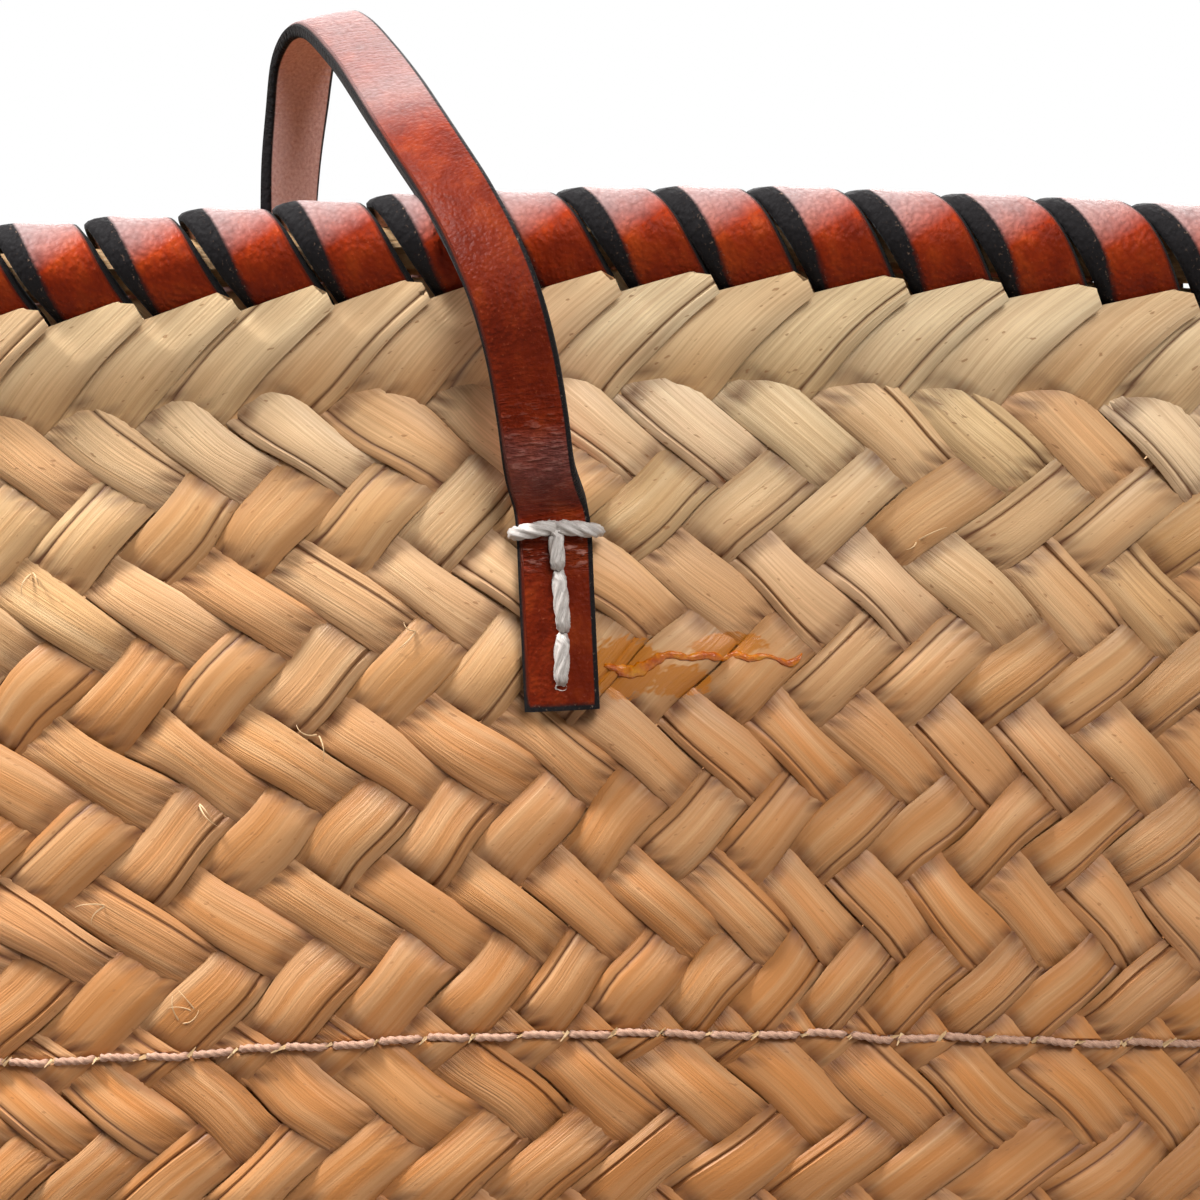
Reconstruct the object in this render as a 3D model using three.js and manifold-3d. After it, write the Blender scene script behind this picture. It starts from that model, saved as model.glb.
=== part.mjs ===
// A palm-leaf basket bag: plaited bands sewn edge to edge, a leather-laced rim and two
// flat leather shoulder straps whose ends are sewn outside the front and back walls.
// Millimetres. +X runs along the bag, the front faces -Y, Z is up from the ground.

import * as THREE from "three";
import { mergeVertices } from "three/addons/utils/BufferGeometryUtils.js";
import Module from "manifold-3d";

const wasm = await Module();
wasm.setup();

// Driving dimensions of the bag

const clearance = 0.3;
const plaitThickness = 2.4;
const rimHalfLength = 228;
const rimHalfDepth = 100;
const rimEndRadius = 75;
const baseHalfLength = 178;
const baseHalfDepth = 84;
const baseEndRadius = 62;
const cornerRadius = 25;
const baseFlatMargin = 13.2;
const lowerSeamHeight = 72.6;
const upperSeamHeight = 172.3;
const rimDip = 5;
const rimPeakShare = 0.405;
const wallBelly = 2;
const endArcSteps = 18;
const longArcSteps = 12;

// Herringbone of the plait: a few bold rows stand for the many fine ones
const plaitRelief = 1;
const middleBandRows = 9;
const upperBandRows = 8;

// Rim: a palm core bound over with one leather lace

const coreRadius = 3.6;
const coreHeight = 279;
const laceSlack = 1.2;
const laceWidth = 8.4;
const laceThickness = 1.8;
const lacePitch = 13.05;
const laceFootBelow = 3;
const laceStandOff = 1.7;

// Leather straps and their stitching

const strapWidth = 10;
const strapThickness = 2.4;
const strapX = 95.2;
const stitchBelowCore = 38.4;
const tabLengthBelowStitch = 24.4;
const tabLengthAboveStitch = 2.4;
const tabEndMargin = 3.6;
const firstStitchLength = 5.5;
const threadRadius = 1.1;
const threadLegRadius = 0.9;

// Front strap at rest: the fold where it leans over the rim, and the grip hanging inside

const foldAside = 46.2;
const foldInward = 51.8;
const foldAboveCore = 38;
const gripInward = 64.4;
const gripAside = 53.6;
const gripBottomBelowCore = 82;

// Back strap at rest, hanging outside the back wall

const backRiserLength = 62;
const backBottomHeight = 55;
const backBendRise = 96;
const backStandOff = 2;

// Seam twine

const twineRadius = 0.8;

// Values that follow from the sizes above

const halfPlait = plaitThickness / 2;
const wallFootHeight = halfPlait + cornerRadius;
const wallTopHeight = coreHeight - coreRadius - clearance;
const seamHalfGap = clearance / 2;
const laceMidRadius = coreRadius + laceSlack + laceThickness / 2;
const laceFootDrop = laceMidRadius + laceFootBelow;
const laceFootReach = halfPlait + laceStandOff;
const stitchHeight = coreHeight - stitchBelowCore;
const strapOffset = halfPlait + clearance + strapThickness / 2;
const tabTopHeight = stitchHeight + tabLengthAboveStitch;
const tabBottomHeight = stitchHeight - tabLengthBelowStitch;
const hingeHeight = tabTopHeight + clearance / 2;
const threadOut = strapOffset + strapThickness / 2 + clearance + threadRadius;
const threadIn = -(halfPlait + clearance + threadRadius);
const crossStitchReach = strapWidth / 2 + threadLegRadius + 2 * clearance;
const hingeOffset = threadOut + threadRadius;

// Materials

const palm = new THREE.MeshStandardMaterial({ color: 0xd9b987, roughness: 0.62, metalness: 0 });
const palmShaded = new THREE.MeshStandardMaterial({ color: 0xc59a68, roughness: 0.66, metalness: 0 });
const leather = new THREE.MeshStandardMaterial({ color: 0x9c3d20, roughness: 0.42, metalness: 0 });
const waxedThread = new THREE.MeshStandardMaterial({ color: 0xe6dfd3, roughness: 0.6, metalness: 0 });
const seamTwine = new THREE.MeshStandardMaterial({ color: 0xb39380, roughness: 0.8, metalness: 0 });

const bag = new THREE.Group();

// Solids from points

function geometryFrom(points, faces) {
  const geometry = new THREE.BufferGeometry();
  const coordinates = points.flatMap((p) => [p.x, p.y, p.z]);
  geometry.setAttribute("position", new THREE.Float32BufferAttribute(coordinates, 3));
  geometry.setIndex(facesOutward(points, faces).flat());
  return geometry;
}

function facesOutward(points, faces) {
  const volume = faces.reduce((sum, [a, b, c]) => {
    const cross = new THREE.Vector3().crossVectors(points[b], points[c]);
    return sum + points[a].dot(cross);
  }, 0);
  return volume < 0 ? faces.map(([a, b, c]) => [a, c, b]) : faces;
}

// Joins equal-sized sections one after another. A closed run returns to its first section.
// The four-sided patch above point j is halved from lower right to upper left where it leans.
function sectionsToGeometry(sections, closed, leansBack = () => false) {
  const size = sections[0].length;
  const faces = [];
  const spans = closed ? sections.length : sections.length - 1;
  for (let i = 0; i < spans; i += 1) {
    const here = i * size;
    const next = ((i + 1) % sections.length) * size;
    for (let j = 0; j < size; j += 1) {
      const k = (j + 1) % size;
      if (leansBack(j)) {
        faces.push([here + j, next + j, here + k]);
        faces.push([next + j, next + k, here + k]);
      } else {
        faces.push([here + j, next + j, next + k]);
        faces.push([here + j, next + k, here + k]);
      }
    }
  }
  if (!closed) {
    const last = (sections.length - 1) * size;
    for (let j = 1; j < size - 1; j += 1) {
      faces.push([0, j, j + 1]);
      faces.push([last, last + j + 1, last + j]);
    }
  }
  return geometryFrom(sections.flat(), faces);
}

function toManifold(geometry) {
  const bare = geometry.clone();
  bare.deleteAttribute("normal");
  bare.deleteAttribute("uv");
  const merged = mergeVertices(bare, 1e-4);
  return new wasm.Manifold(new wasm.Mesh({
    numProp: 3,
    vertProperties: new Float32Array(merged.attributes.position.array),
    triVerts: new Uint32Array(merged.index.array),
  }));
}

function fromManifold(solid) {
  const mesh = solid.getMesh();
  const geometry = new THREE.BufferGeometry();
  geometry.setAttribute("position", new THREE.BufferAttribute(mesh.vertProperties, 3));
  geometry.setIndex(new THREE.BufferAttribute(mesh.triVerts, 1));
  return geometry;
}

function joinAll(geometries) {
  return geometries.map(toManifold).reduce((whole, piece) => whole.add(piece));
}

function cutAll(geometry, tools) {
  return fromManifold(toManifold(geometry).subtract(joinAll(tools)));
}

function rod(from, to, radius, sides = 6) {
  const along = new THREE.Vector3().subVectors(to, from);
  const geometry = new THREE.CylinderGeometry(radius, radius, along.length(), sides);
  const turn = new THREE.Quaternion().setFromUnitVectors(
    new THREE.Vector3(0, 1, 0),
    along.clone().normalize(),
  );
  geometry.applyQuaternion(turn);
  geometry.translate((from.x + to.x) / 2, (from.y + to.y) / 2, (from.z + to.z) / 2);
  return geometry;
}

// Mirrors a geometry in X and in Y, and turns its faces back out after a single mirror.
function mirrored(geometry, signX, signY) {
  const copy = geometry.clone();
  copy.scale(signX, signY, 1);
  if (signX * signY < 0) {
    const index = copy.index.array;
    for (let i = 0; i < index.length; i += 3) {
      [index[i + 1], index[i + 2]] = [index[i + 2], index[i + 1]];
    }
  }
  return copy;
}

function addPart(name, geometry, material) {
  const mesh = new THREE.Mesh(geometry, material);
  mesh.name = name;
  bag.add(mesh);
}

// The bag's plan: two long arcs for the front and back, and two round ends.
// A share of the way round starts at the middle of the front and runs towards +X.
function planOf({ halfLength, halfDepth, endRadius }) {
  const endCentre = halfLength - endRadius;
  const longRadius = (endCentre ** 2 + halfDepth ** 2 - endRadius ** 2)
    / (2 * (halfDepth - endRadius));
  const longCentre = longRadius - halfDepth;
  const turn = Math.atan2(longCentre, endCentre);
  const arcs = [
    { x: 0, y: longCentre, radius: longRadius, from: -Math.PI / 2, to: -turn },
    { x: endCentre, y: 0, radius: endRadius, from: -turn, to: turn },
    { x: 0, y: -longCentre, radius: longRadius, from: turn, to: Math.PI - turn },
    { x: -endCentre, y: 0, radius: endRadius, from: Math.PI - turn, to: Math.PI + turn },
    { x: 0, y: longCentre, radius: longRadius, from: Math.PI + turn, to: Math.PI * 1.5 },
  ];
  const around = arcs.reduce((sum, arc) => sum + arc.radius * (arc.to - arc.from), 0);
  return { arcs, around, longRadius, longCentre };
}

function planPoint(plan, share) {
  let left = (share - Math.floor(share)) * plan.around;
  for (const arc of plan.arcs) {
    const length = arc.radius * (arc.to - arc.from);
    if (left <= length || arc === plan.arcs[plan.arcs.length - 1]) {
      const angle = arc.from + left / arc.radius;
      return {
        x: arc.x + arc.radius * Math.cos(angle),
        y: arc.y + arc.radius * Math.sin(angle),
        angle,
      };
    }
    left -= length;
  }
  return null;
}

// Shares at which every ring has a section: close together round the ends.
function ringShares() {
  const plan = planOf({
    halfLength: rimHalfLength, halfDepth: rimHalfDepth, endRadius: rimEndRadius,
  });
  const longShare = (plan.arcs[2].radius * (plan.arcs[2].to - plan.arcs[2].from)) / plan.around;
  const endShare = (plan.arcs[1].radius * (plan.arcs[1].to - plan.arcs[1].from)) / plan.around;
  const shares = [];
  let start = -longShare / 2;
  for (const [length, steps] of [
    [longShare, longArcSteps], [endShare, endArcSteps],
    [longShare, longArcSteps], [endShare, endArcSteps],
  ]) {
    for (let i = 0; i < steps; i += 1) {
      shares.push(start + (length * i) / steps);
    }
    start += length;
  }
  return shares;
}

const sectionShares = ringShares();

// How far the rim hangs below its peaks, which lie where the straps pull it up.
function dipAt(share) {
  const half = share * 2 - Math.floor(share * 2);
  const quarter = Math.min(half, 1 - half) * 2;
  if (quarter < rimPeakShare) {
    return rimDip * Math.cos((Math.PI / 2) * (quarter / rimPeakShare)) ** 2;
  }
  return rimDip * Math.sin((Math.PI / 2) * ((quarter - rimPeakShare) / (1 - rimPeakShare))) ** 2;
}

// Stations of the bag's side view, each with its plan and the way it faces.

function wallStation(height) {
  const rise = (height - wallFootHeight) / (coreHeight - wallFootHeight);
  const belly = wallBelly * Math.sin(Math.PI * THREE.MathUtils.clamp(rise, 0, 1));
  const wave = THREE.MathUtils.clamp(
    (height - wallFootHeight) / (upperSeamHeight - wallFootHeight), 0, 1,
  );
  return {
    halfLength: THREE.MathUtils.lerp(baseHalfLength, rimHalfLength, rise) + belly,
    halfDepth: THREE.MathUtils.lerp(baseHalfDepth, rimHalfDepth, rise) + belly,
    endRadius: THREE.MathUtils.lerp(baseEndRadius, rimEndRadius, rise) + belly,
    height,
    out: 1,
    up: 0,
    wave,
  };
}

function cornerStation(angle) {
  const inset = cornerRadius * (1 - Math.cos(angle));
  return {
    halfLength: baseHalfLength - inset,
    halfDepth: baseHalfDepth - inset,
    endRadius: baseEndRadius - inset,
    height: wallFootHeight - cornerRadius * Math.sin(angle),
    out: Math.cos(angle),
    up: -Math.sin(angle),
    wave: 0,
  };
}

function floorStation(margin) {
  const inset = cornerRadius + margin;
  return {
    halfLength: baseHalfLength - inset,
    halfDepth: baseHalfDepth - inset,
    endRadius: baseEndRadius - inset,
    height: halfPlait,
    out: 0,
    up: -1,
    wave: 0,
  };
}

// A point of the bag, set off from its middle surface along the way that surface faces.
function surfacePoint(station, share, offset) {
  const { x, y, angle } = planPoint(planOf(station), share);
  const reach = offset * station.out;
  const height = station.height + offset * station.up - station.wave * dipAt(share);
  return new THREE.Vector3(x + reach * Math.cos(angle), y + reach * Math.sin(angle), height);
}

// A point of the front wall by its X and height, with the wall's own directions there.
function onFront(x, height, offset) {
  const plan = planOf(wallStation(height));
  const angle = Math.asin(x / plan.longRadius);
  const normal = new THREE.Vector3(Math.sin(angle), -Math.cos(angle), 0);
  const tangent = new THREE.Vector3(Math.cos(angle), Math.sin(angle), 0);
  const point = new THREE.Vector3(0, plan.longCentre, height);
  point.addScaledVector(normal, plan.longRadius + offset);
  return { point, normal, tangent };
}

// Plaited bands. Outside, every second point of a row sinks by the relief, and the patches
// lean the other way from row to row, so that their ridges run in a herringbone. The first
// and the last stations stay level, because a seam, the base or the lace is there.
function bandGeometry(outer, inner, relief = 0) {
  const sections = sectionShares.map((share, i) => {
    const outside = outer.map((station, j) => {
      const sinks = (i + j) % 2 === 1 && j > 0 && j < outer.length - 1 && !station.level;
      return surfacePoint(station, share, halfPlait - (sinks ? relief : 0));
    });
    const inside = inner.map((station) => surfacePoint(station, share, -halfPlait));
    return [...outside, ...inside.reverse()];
  });
  return sectionsToGeometry(sections, true, (j) => j < outer.length && j % 2 === 1);
}

function evenly(from, to, count, station) {
  const list = [];
  for (let i = 0; i <= count; i += 1) {
    list.push(station(THREE.MathUtils.lerp(from, to, i / count)));
  }
  return list;
}

const basePlan = planOf(floorStation(baseFlatMargin + clearance));
const baseOutline = new THREE.Shape(sectionShares.map((share) => {
  const point = planPoint(basePlan, share);
  return new THREE.Vector2(point.x, point.y);
}));
const basePlate = new THREE.ExtrudeGeometry(baseOutline, {
  depth: plaitThickness,
  bevelEnabled: false,
});
basePlate.deleteAttribute("normal");
basePlate.deleteAttribute("uv");
addPart("base_plait", mergeVertices(basePlate, 1e-4), palmShaded);

const lowerStations = [
  floorStation(baseFlatMargin),
  ...evenly(Math.PI / 2, 0, 3, cornerStation),
  wallStation(lowerSeamHeight - seamHalfGap),
];
addPart("lower_plait", bandGeometry(lowerStations, lowerStations), palmShaded);

const middleFoot = lowerSeamHeight + seamHalfGap;
const middleTop = upperSeamHeight - seamHalfGap;
addPart("middle_plait", bandGeometry(
  evenly(middleFoot, middleTop, middleBandRows, wallStation),
  evenly(middleFoot, middleTop, 1, wallStation),
  plaitRelief,
), palm);

// Rim core and its lace

function ringTube(station, offset, radius, sides) {
  const sections = sectionShares.map((share) => {
    const centre = surfacePoint(station, share, offset);
    const { angle } = planPoint(planOf(station), share);
    const section = [];
    for (let j = 0; j < sides; j += 1) {
      const around = (2 * Math.PI * (j + 0.5)) / sides;
      section.push(new THREE.Vector3(
        centre.x + radius * Math.cos(around) * Math.cos(angle),
        centre.y + radius * Math.cos(around) * Math.sin(angle),
        centre.z + radius * Math.sin(around),
      ));
    }
    return section;
  });
  return sectionsToGeometry(sections, true);
}

addPart("rim_core", ringTube(wallStation(coreHeight), 0, coreRadius, 6), palm);

// One turn of the lace in the rim's cross-section: distance out, height above the core's
// middle, and the share of a turn's advance made by then. It goes over the core, slants
// down the outside, passes through the plait below the core and climbs the inside.
const laceDiagonal = laceMidRadius * Math.SQRT1_2;
const laceTurnProfile = [
  { out: 0, up: laceMidRadius, share: 0 },
  { out: laceDiagonal, up: laceDiagonal, share: 0.12 },
  { out: laceMidRadius, up: -laceThickness / 2, share: 0.32 },
  { out: laceMidRadius * 0.82, up: -laceMidRadius, share: 0.52 },
  { out: laceFootReach, up: -laceFootDrop, share: 0.72, foot: true },
  { out: -laceFootReach, up: -laceFootDrop, share: 0.78, foot: true },
  { out: -laceMidRadius, up: -laceThickness, share: 0.89 },
  { out: -laceDiagonal, up: laceDiagonal, share: 0.96 },
];
const laceFootShare = 0.75;
const laceTurns = Math.round(planOf(wallStation(coreHeight)).around / lacePitch);

function laceStop(index) {
  const steps = laceTurnProfile.length;
  const turn = Math.floor(index / steps);
  const stop = laceTurnProfile[index - turn * steps];
  return { ...stop, rimShare: (turn + stop.share) / laceTurns };
}

// The rim's cross-section follows the plan at the core, and its foot the wall below.
function rimStation(up) {
  const lean = THREE.MathUtils.mapLinear(up, -laceMidRadius, -laceFootDrop, 0, -laceFootDrop);
  return { ...wallStation(coreHeight + Math.min(0, lean)), height: coreHeight + up };
}

function lacePoint(index) {
  const { out, up, rimShare } = laceStop(index);
  return surfacePoint(rimStation(up), rimShare, out);
}

// The lace lies square to its way, but turns level where it passes through the plait.
function laceSections() {
  const count = laceTurns * laceTurnProfile.length;
  const sections = [];
  for (let i = 0; i < count; i += 1) {
    const { foot, rimShare } = laceStop(i);
    const point = lacePoint(i);
    const along = lacePoint(i + 1).sub(lacePoint(i - 1)).normalize();
    const { angle } = planPoint(planOf(wallStation(coreHeight)), rimShare);
    const rimward = new THREE.Vector3(-Math.sin(angle), Math.cos(angle), 0);
    const outward = new THREE.Vector3().crossVectors(rimward, along).normalize();
    const square = new THREE.Vector3().crossVectors(along, outward).normalize();
    const across = foot ? rimward : square;
    sections.push([[-1, -1], [1, -1], [1, 1], [-1, 1]].map(([w, t]) => point.clone()
      .addScaledVector(across, (w * laceWidth) / 2)
      .addScaledVector(outward, (t * laceThickness) / 2)));
  }
  return sections;
}

// A box for each slot through which the lace passes below the core.
function laceSlotTools() {
  const tools = [];
  for (let turn = 0; turn < laceTurns; turn += 1) {
    const share = (turn + laceFootShare) / laceTurns;
    const station = rimStation(-laceFootDrop);
    const centre = surfacePoint(station, share, 0);
    const { angle } = planPoint(planOf(station), share);
    const slot = new THREE.BoxGeometry(
      laceFootReach * 2, laceWidth + 4 * clearance, laceThickness + 2 * clearance,
    );
    slot.rotateZ(angle);
    slot.translate(centre.x, centre.y, centre.z);
    tools.push(slot);
  }
  return tools;
}

// The least gap between one turn of the lace and the next, measured on its points.
function leastLaceGap(sections) {
  const steps = laceTurnProfile.length;
  let least = Infinity;
  for (let i = 0; i < sections.length; i += 1) {
    for (let k = steps - 2; k <= steps + 2; k += 1) {
      const other = sections[(i + k) % sections.length];
      for (const a of sections[i]) {
        for (const b of other) {
          least = Math.min(least, a.distanceTo(b));
        }
      }
    }
  }
  return least;
}

const lace = laceSections();
console.log(`least gap between turns of the rim lace: ${leastLaceGap(lace).toFixed(2)} mm`);
addPart("rim_lacing", sectionsToGeometry(lace, true), leather);

// Where each strap's end is sewn

function tabPoint(across, height, offset) {
  const { point, tangent } = onFront(strapX, height, offset);
  return point.addScaledVector(tangent, across);
}

const lastHoleDrop = tabLengthBelowStitch - tabEndMargin;
const middleHoleDrop = THREE.MathUtils.lerp(firstStitchLength, lastHoleDrop, 0.55);
const holeHeights = [0, firstStitchLength, middleHoleDrop, lastHoleDrop].map(
  (drop) => stitchHeight - drop,
);

// The thread's way: legs through wall and strap, and runs between them outside and inside.
function threadWay() {
  const over = (across, height) => tabPoint(across, height, threadOut);
  const under = (across, height) => tabPoint(across, height, threadIn);
  const side = crossStitchReach;
  const last = stitchHeight - lastHoleDrop;
  const legs = [
    [over(-side, stitchHeight), under(-side, stitchHeight)],
    [over(side, stitchHeight), under(side, stitchHeight)],
    ...holeHeights.map((height) => [over(0, height), under(0, height)]),
  ];
  const runs = [
    [over(-side, stitchHeight), over(side, stitchHeight)],
    [under(-side, stitchHeight), under(side, stitchHeight)],
    [over(0, stitchHeight), over(0, last)],
    [under(0, stitchHeight), under(0, last)],
  ];
  return { legs, runs };
}

function threadGeometry() {
  const { legs, runs } = threadWay();
  const overrun = threadRadius * 0.9;
  const runRods = runs.map(([from, to]) => {
    const along = new THREE.Vector3().subVectors(to, from).setLength(overrun);
    return rod(from.clone().sub(along), to.clone().add(along), threadRadius, 5);
  });
  const legRods = legs.map(([from, to]) => rod(from, to, threadLegRadius, 5));
  return fromManifold(joinAll([...runRods, ...legRods]));
}

function threadHoleTools() {
  const { legs } = threadWay();
  return legs.map(([from, to]) => rod(from, to, threadLegRadius + clearance));
}

// A flat strap along a curve. Its width direction is given at each point of the path.
function strapGeometry(path, steps) {
  const curve = new THREE.CatmullRomCurve3(path.map((stop) => stop.point), false, "centripetal");
  const sections = [];
  for (let i = 0; i <= steps; i += 1) {
    const t = i / steps;
    const point = curve.getPoint(t);
    const along = curve.getTangent(t);
    const place = t * (path.length - 1);
    const before = Math.min(Math.floor(place), path.length - 2);
    const across = new THREE.Vector3().lerpVectors(
      path[before].across, path[before + 1].across, place - before,
    );
    across.addScaledVector(along, -across.dot(along)).normalize();
    const facing = new THREE.Vector3().crossVectors(along, across).normalize();
    sections.push([[-1, -1], [1, -1], [1, 1], [-1, 1]].map(([w, f]) => point.clone()
      .addScaledVector(across, (w * strapWidth) / 2)
      .addScaledVector(facing, (f * strapThickness) / 2)));
  }
  return sectionsToGeometry(sections, false);
}

function levelDirection(degrees) {
  const angle = THREE.MathUtils.degToRad(degrees);
  return new THREE.Vector3(Math.cos(angle), Math.sin(angle), 0);
}

const { tangent: strapTangent } = onFront(strapX, stitchHeight, 0);
const tabPath = evenly(tabBottomHeight, tabTopHeight, 3, (height) => ({
  point: tabPoint(0, height, strapOffset),
  across: strapTangent,
}));
const holeTools = threadHoleTools();
const tab = cutAll(strapGeometry(tabPath, 3), holeTools);
const thread = threadGeometry();

// The upper band has a slot for each turn of the lace and holes for the strap threads.
// Its relief ends below the slots.
const upperFoot = upperSeamHeight + seamHalfGap;
const reliefTop = coreHeight - 2 * laceFootDrop;
const upperBand = bandGeometry(
  [
    ...evenly(upperFoot, reliefTop, upperBandRows, wallStation).slice(0, -1),
    { ...wallStation(reliefTop), level: true },
    wallStation(wallTopHeight),
  ],
  evenly(upperFoot, wallTopHeight, 2, wallStation),
  plaitRelief,
);
const corners = [[1, 1], [-1, 1], [1, -1], [-1, -1]];
const allHoleTools = corners.flatMap(([signX, signY]) => holeTools.map(
  (tool) => mirrored(tool, signX, signY),
));
addPart("upper_plait", cutAll(upperBand, [...laceSlotTools(), ...allHoleTools]), palm);

for (const [signX, signY] of corners) {
  const place = `${signY > 0 ? "front" : "back"}_${signX > 0 ? "right" : "left"}`;
  addPart(`${place}_strap_tab`, mirrored(tab, signX, signY), leather);
  addPart(`${place}_tab_thread`, mirrored(thread, signX, signY), waxedThread);
}

// Twine that sews the bands together, outside the wall and inside the base

const twineOffset = halfPlait + clearance + twineRadius;
addPart("upper_seam_twine",
  ringTube(wallStation(upperSeamHeight), twineOffset, twineRadius, 4), seamTwine);
addPart("lower_seam_twine",
  ringTube(wallStation(lowerSeamHeight), twineOffset, twineRadius, 4), seamTwine);
addPart("base_seam_twine",
  ringTube(floorStation(baseFlatMargin), -twineOffset, twineRadius, 4), seamTwine);

// Front strap: two risers from the tabs over the rim to the fold, and the hanging grip

// A stop on the strap's way: aside towards the bag's middle, inward from the rim's front,
// and up from the core. The direction across the strap is level, turned by some degrees.
function overRim(aside, inward, up, degrees) {
  const x = strapX - aside;
  const rimY = onFront(x, coreHeight, 0).point.y;
  return {
    point: new THREE.Vector3(x, rimY + inward, coreHeight + up),
    across: levelDirection(degrees),
  };
}

const riserStart = hingeHeight + clearance / 2;
const frontFold = overRim(foldAside, foldInward, foldAboveCore, 28);
const frontRiserPath = [
  { point: tabPoint(0, riserStart, strapOffset), across: strapTangent },
  { point: tabPoint(0, riserStart + 2, strapOffset), across: strapTangent },
  { point: tabPoint(0, riserStart + 8.5, strapOffset + 3.9), across: strapTangent },
  overRim(2.2, -10.8, -16, 6),
  overRim(5.8, -10.6, -4, 3),
  overRim(10.6, -8.8, 5, 0),
  overRim(16.2, 2.85, 12.8, -2),
  overRim(24.2, 15.9, 20.2, -2),
  overRim(foldAside - 11.5, foldInward - 19, foldAboveCore - 8.4, 4),
  overRim(foldAside - 5, foldInward - 8.4, foldAboveCore - 2, 16),
  overRim(foldAside - 2, foldInward - 3.3, foldAboveCore, 28),
  frontFold,
];

// The left half mirrors the right one. The direction across the strap runs on unbroken.
function withMirror(half) {
  const rest = half.slice(0, -1).reverse().map((stop) => ({
    point: new THREE.Vector3(-stop.point.x, stop.point.y, stop.point.z),
    across: new THREE.Vector3(-stop.across.x, stop.across.y, 0),
  }));
  return [...half, ...rest];
}

const foldStep = new THREE.Vector3(-0.53, 0.85, 0);
const gripStart = frontFold.point.clone().addScaledVector(foldStep, clearance);
const gripLegX = strapX - gripAside;
const gripBottomHeight = coreHeight - gripBottomBelowCore;
const gripBendHeight = gripBottomHeight + gripLegX;
const gripLegY = overRim(gripAside, gripInward, 0, 0).point.y;
const gripHalf = [
  { point: gripStart, across: levelDirection(30) },
  { point: gripStart.clone().addScaledVector(foldStep, 2), across: levelDirection(30) },
  overRim(foldAside + 3.8, foldInward + 7, foldAboveCore - 3.8, 36),
  overRim(foldAside + 5.2, foldInward + 10.1, foldAboveCore - 11, 46),
  overRim(gripAside - 0.8, gripInward - 1, 18, 52),
  overRim(gripAside, gripInward, 3, 62),
  overRim(gripAside, gripInward, -15, 80),
  ...evenly(0, Math.PI / 2, 4, (angle) => ({
    point: new THREE.Vector3(
      gripLegX * Math.cos(angle),
      gripLegY,
      gripBendHeight - gripLegX * Math.sin(angle),
    ),
    across: levelDirection(90),
  })),
];

const frontRiser = strapGeometry(frontRiserPath, 22);
addPart("front_right_riser", frontRiser, leather);
addPart("front_left_riser", mirrored(frontRiser, -1, 1), leather);
addPart("front_grip", strapGeometry(withMirror(gripHalf), 44), leather);

// Back strap: it folds over its stitching and hangs outside the back wall

const backTop = tabPoint(0, tabTopHeight, 2 * hingeOffset - strapOffset);
const backStartHeight = hingeHeight - clearance / 2;
const backGripHeight = backStartHeight - backRiserLength;
const backBottom = onFront(0, backBottomHeight, halfPlait + strapWidth / 2 + backStandOff).point;

function backPoint(x, height) {
  const y = THREE.MathUtils.mapLinear(
    height, backStartHeight, backBottomHeight, -backTop.y, -backBottom.y,
  );
  return new THREE.Vector3(x, y, height);
}

function backStop(aside, below, degrees) {
  return {
    point: backPoint(backTop.x - aside, backStartHeight - below),
    across: levelDirection(degrees),
  };
}

const backRiser = strapGeometry([
  { ...backStop(0, 0, 0), across: strapTangent },
  backStop(0, backRiserLength / 3, 14),
  backStop(0.6, (backRiserLength * 2) / 3, 24),
  backStop(1.4, backRiserLength - clearance / 2, 36),
], 6);
const backBendX = backTop.x - 3.6;
const backHalf = [
  backStop(1.4, backRiserLength + clearance / 2, 36),
  backStop(2.6, backRiserLength + 14, 58),
  ...evenly(0, Math.PI / 2, 6, (angle) => ({
    point: backPoint(
      backBendX * Math.cos(angle),
      backBottomHeight + backBendRise * (1 - Math.sin(angle)),
    ),
    across: levelDirection(THREE.MathUtils.lerp(74, 90, Math.min(1, angle * 2))),
  })),
];
addPart("back_right_riser", mirrored(backRiser, 1, 1), leather);
addPart("back_left_riser", mirrored(backRiser, -1, 1), leather);
addPart("back_grip", strapGeometry(withMirror(backHalf), 40), leather);

export default bag;
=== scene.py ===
"""A palm-leaf basket bag: plaited bands sewn edge to edge, a rim laced over with one leather
strip, and two flat leather shoulder straps sewn on with waxed thread.
Lengths here are millimetres until a mesh is made. The front faces -Y and Z is up."""

import math
from functools import partial
from types import SimpleNamespace

import bmesh
import bpy
import numpy as np
from mathutils.bvhtree import BVHTree
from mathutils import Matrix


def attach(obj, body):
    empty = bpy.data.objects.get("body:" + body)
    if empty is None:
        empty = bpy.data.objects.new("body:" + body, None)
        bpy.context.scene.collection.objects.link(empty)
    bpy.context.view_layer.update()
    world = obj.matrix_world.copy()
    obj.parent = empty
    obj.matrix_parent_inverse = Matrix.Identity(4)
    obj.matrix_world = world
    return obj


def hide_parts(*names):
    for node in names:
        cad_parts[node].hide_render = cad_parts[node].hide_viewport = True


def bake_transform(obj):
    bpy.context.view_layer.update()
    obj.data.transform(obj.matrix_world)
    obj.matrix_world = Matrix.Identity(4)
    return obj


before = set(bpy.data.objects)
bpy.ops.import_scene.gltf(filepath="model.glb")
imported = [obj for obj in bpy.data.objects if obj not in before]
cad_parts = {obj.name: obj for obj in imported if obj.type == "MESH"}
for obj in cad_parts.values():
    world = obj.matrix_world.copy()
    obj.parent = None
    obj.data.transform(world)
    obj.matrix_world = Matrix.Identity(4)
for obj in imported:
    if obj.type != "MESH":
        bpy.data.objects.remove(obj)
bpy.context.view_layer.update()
scene = bpy.context.scene

MM = 0.001

# Sizes of the bag's body

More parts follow.
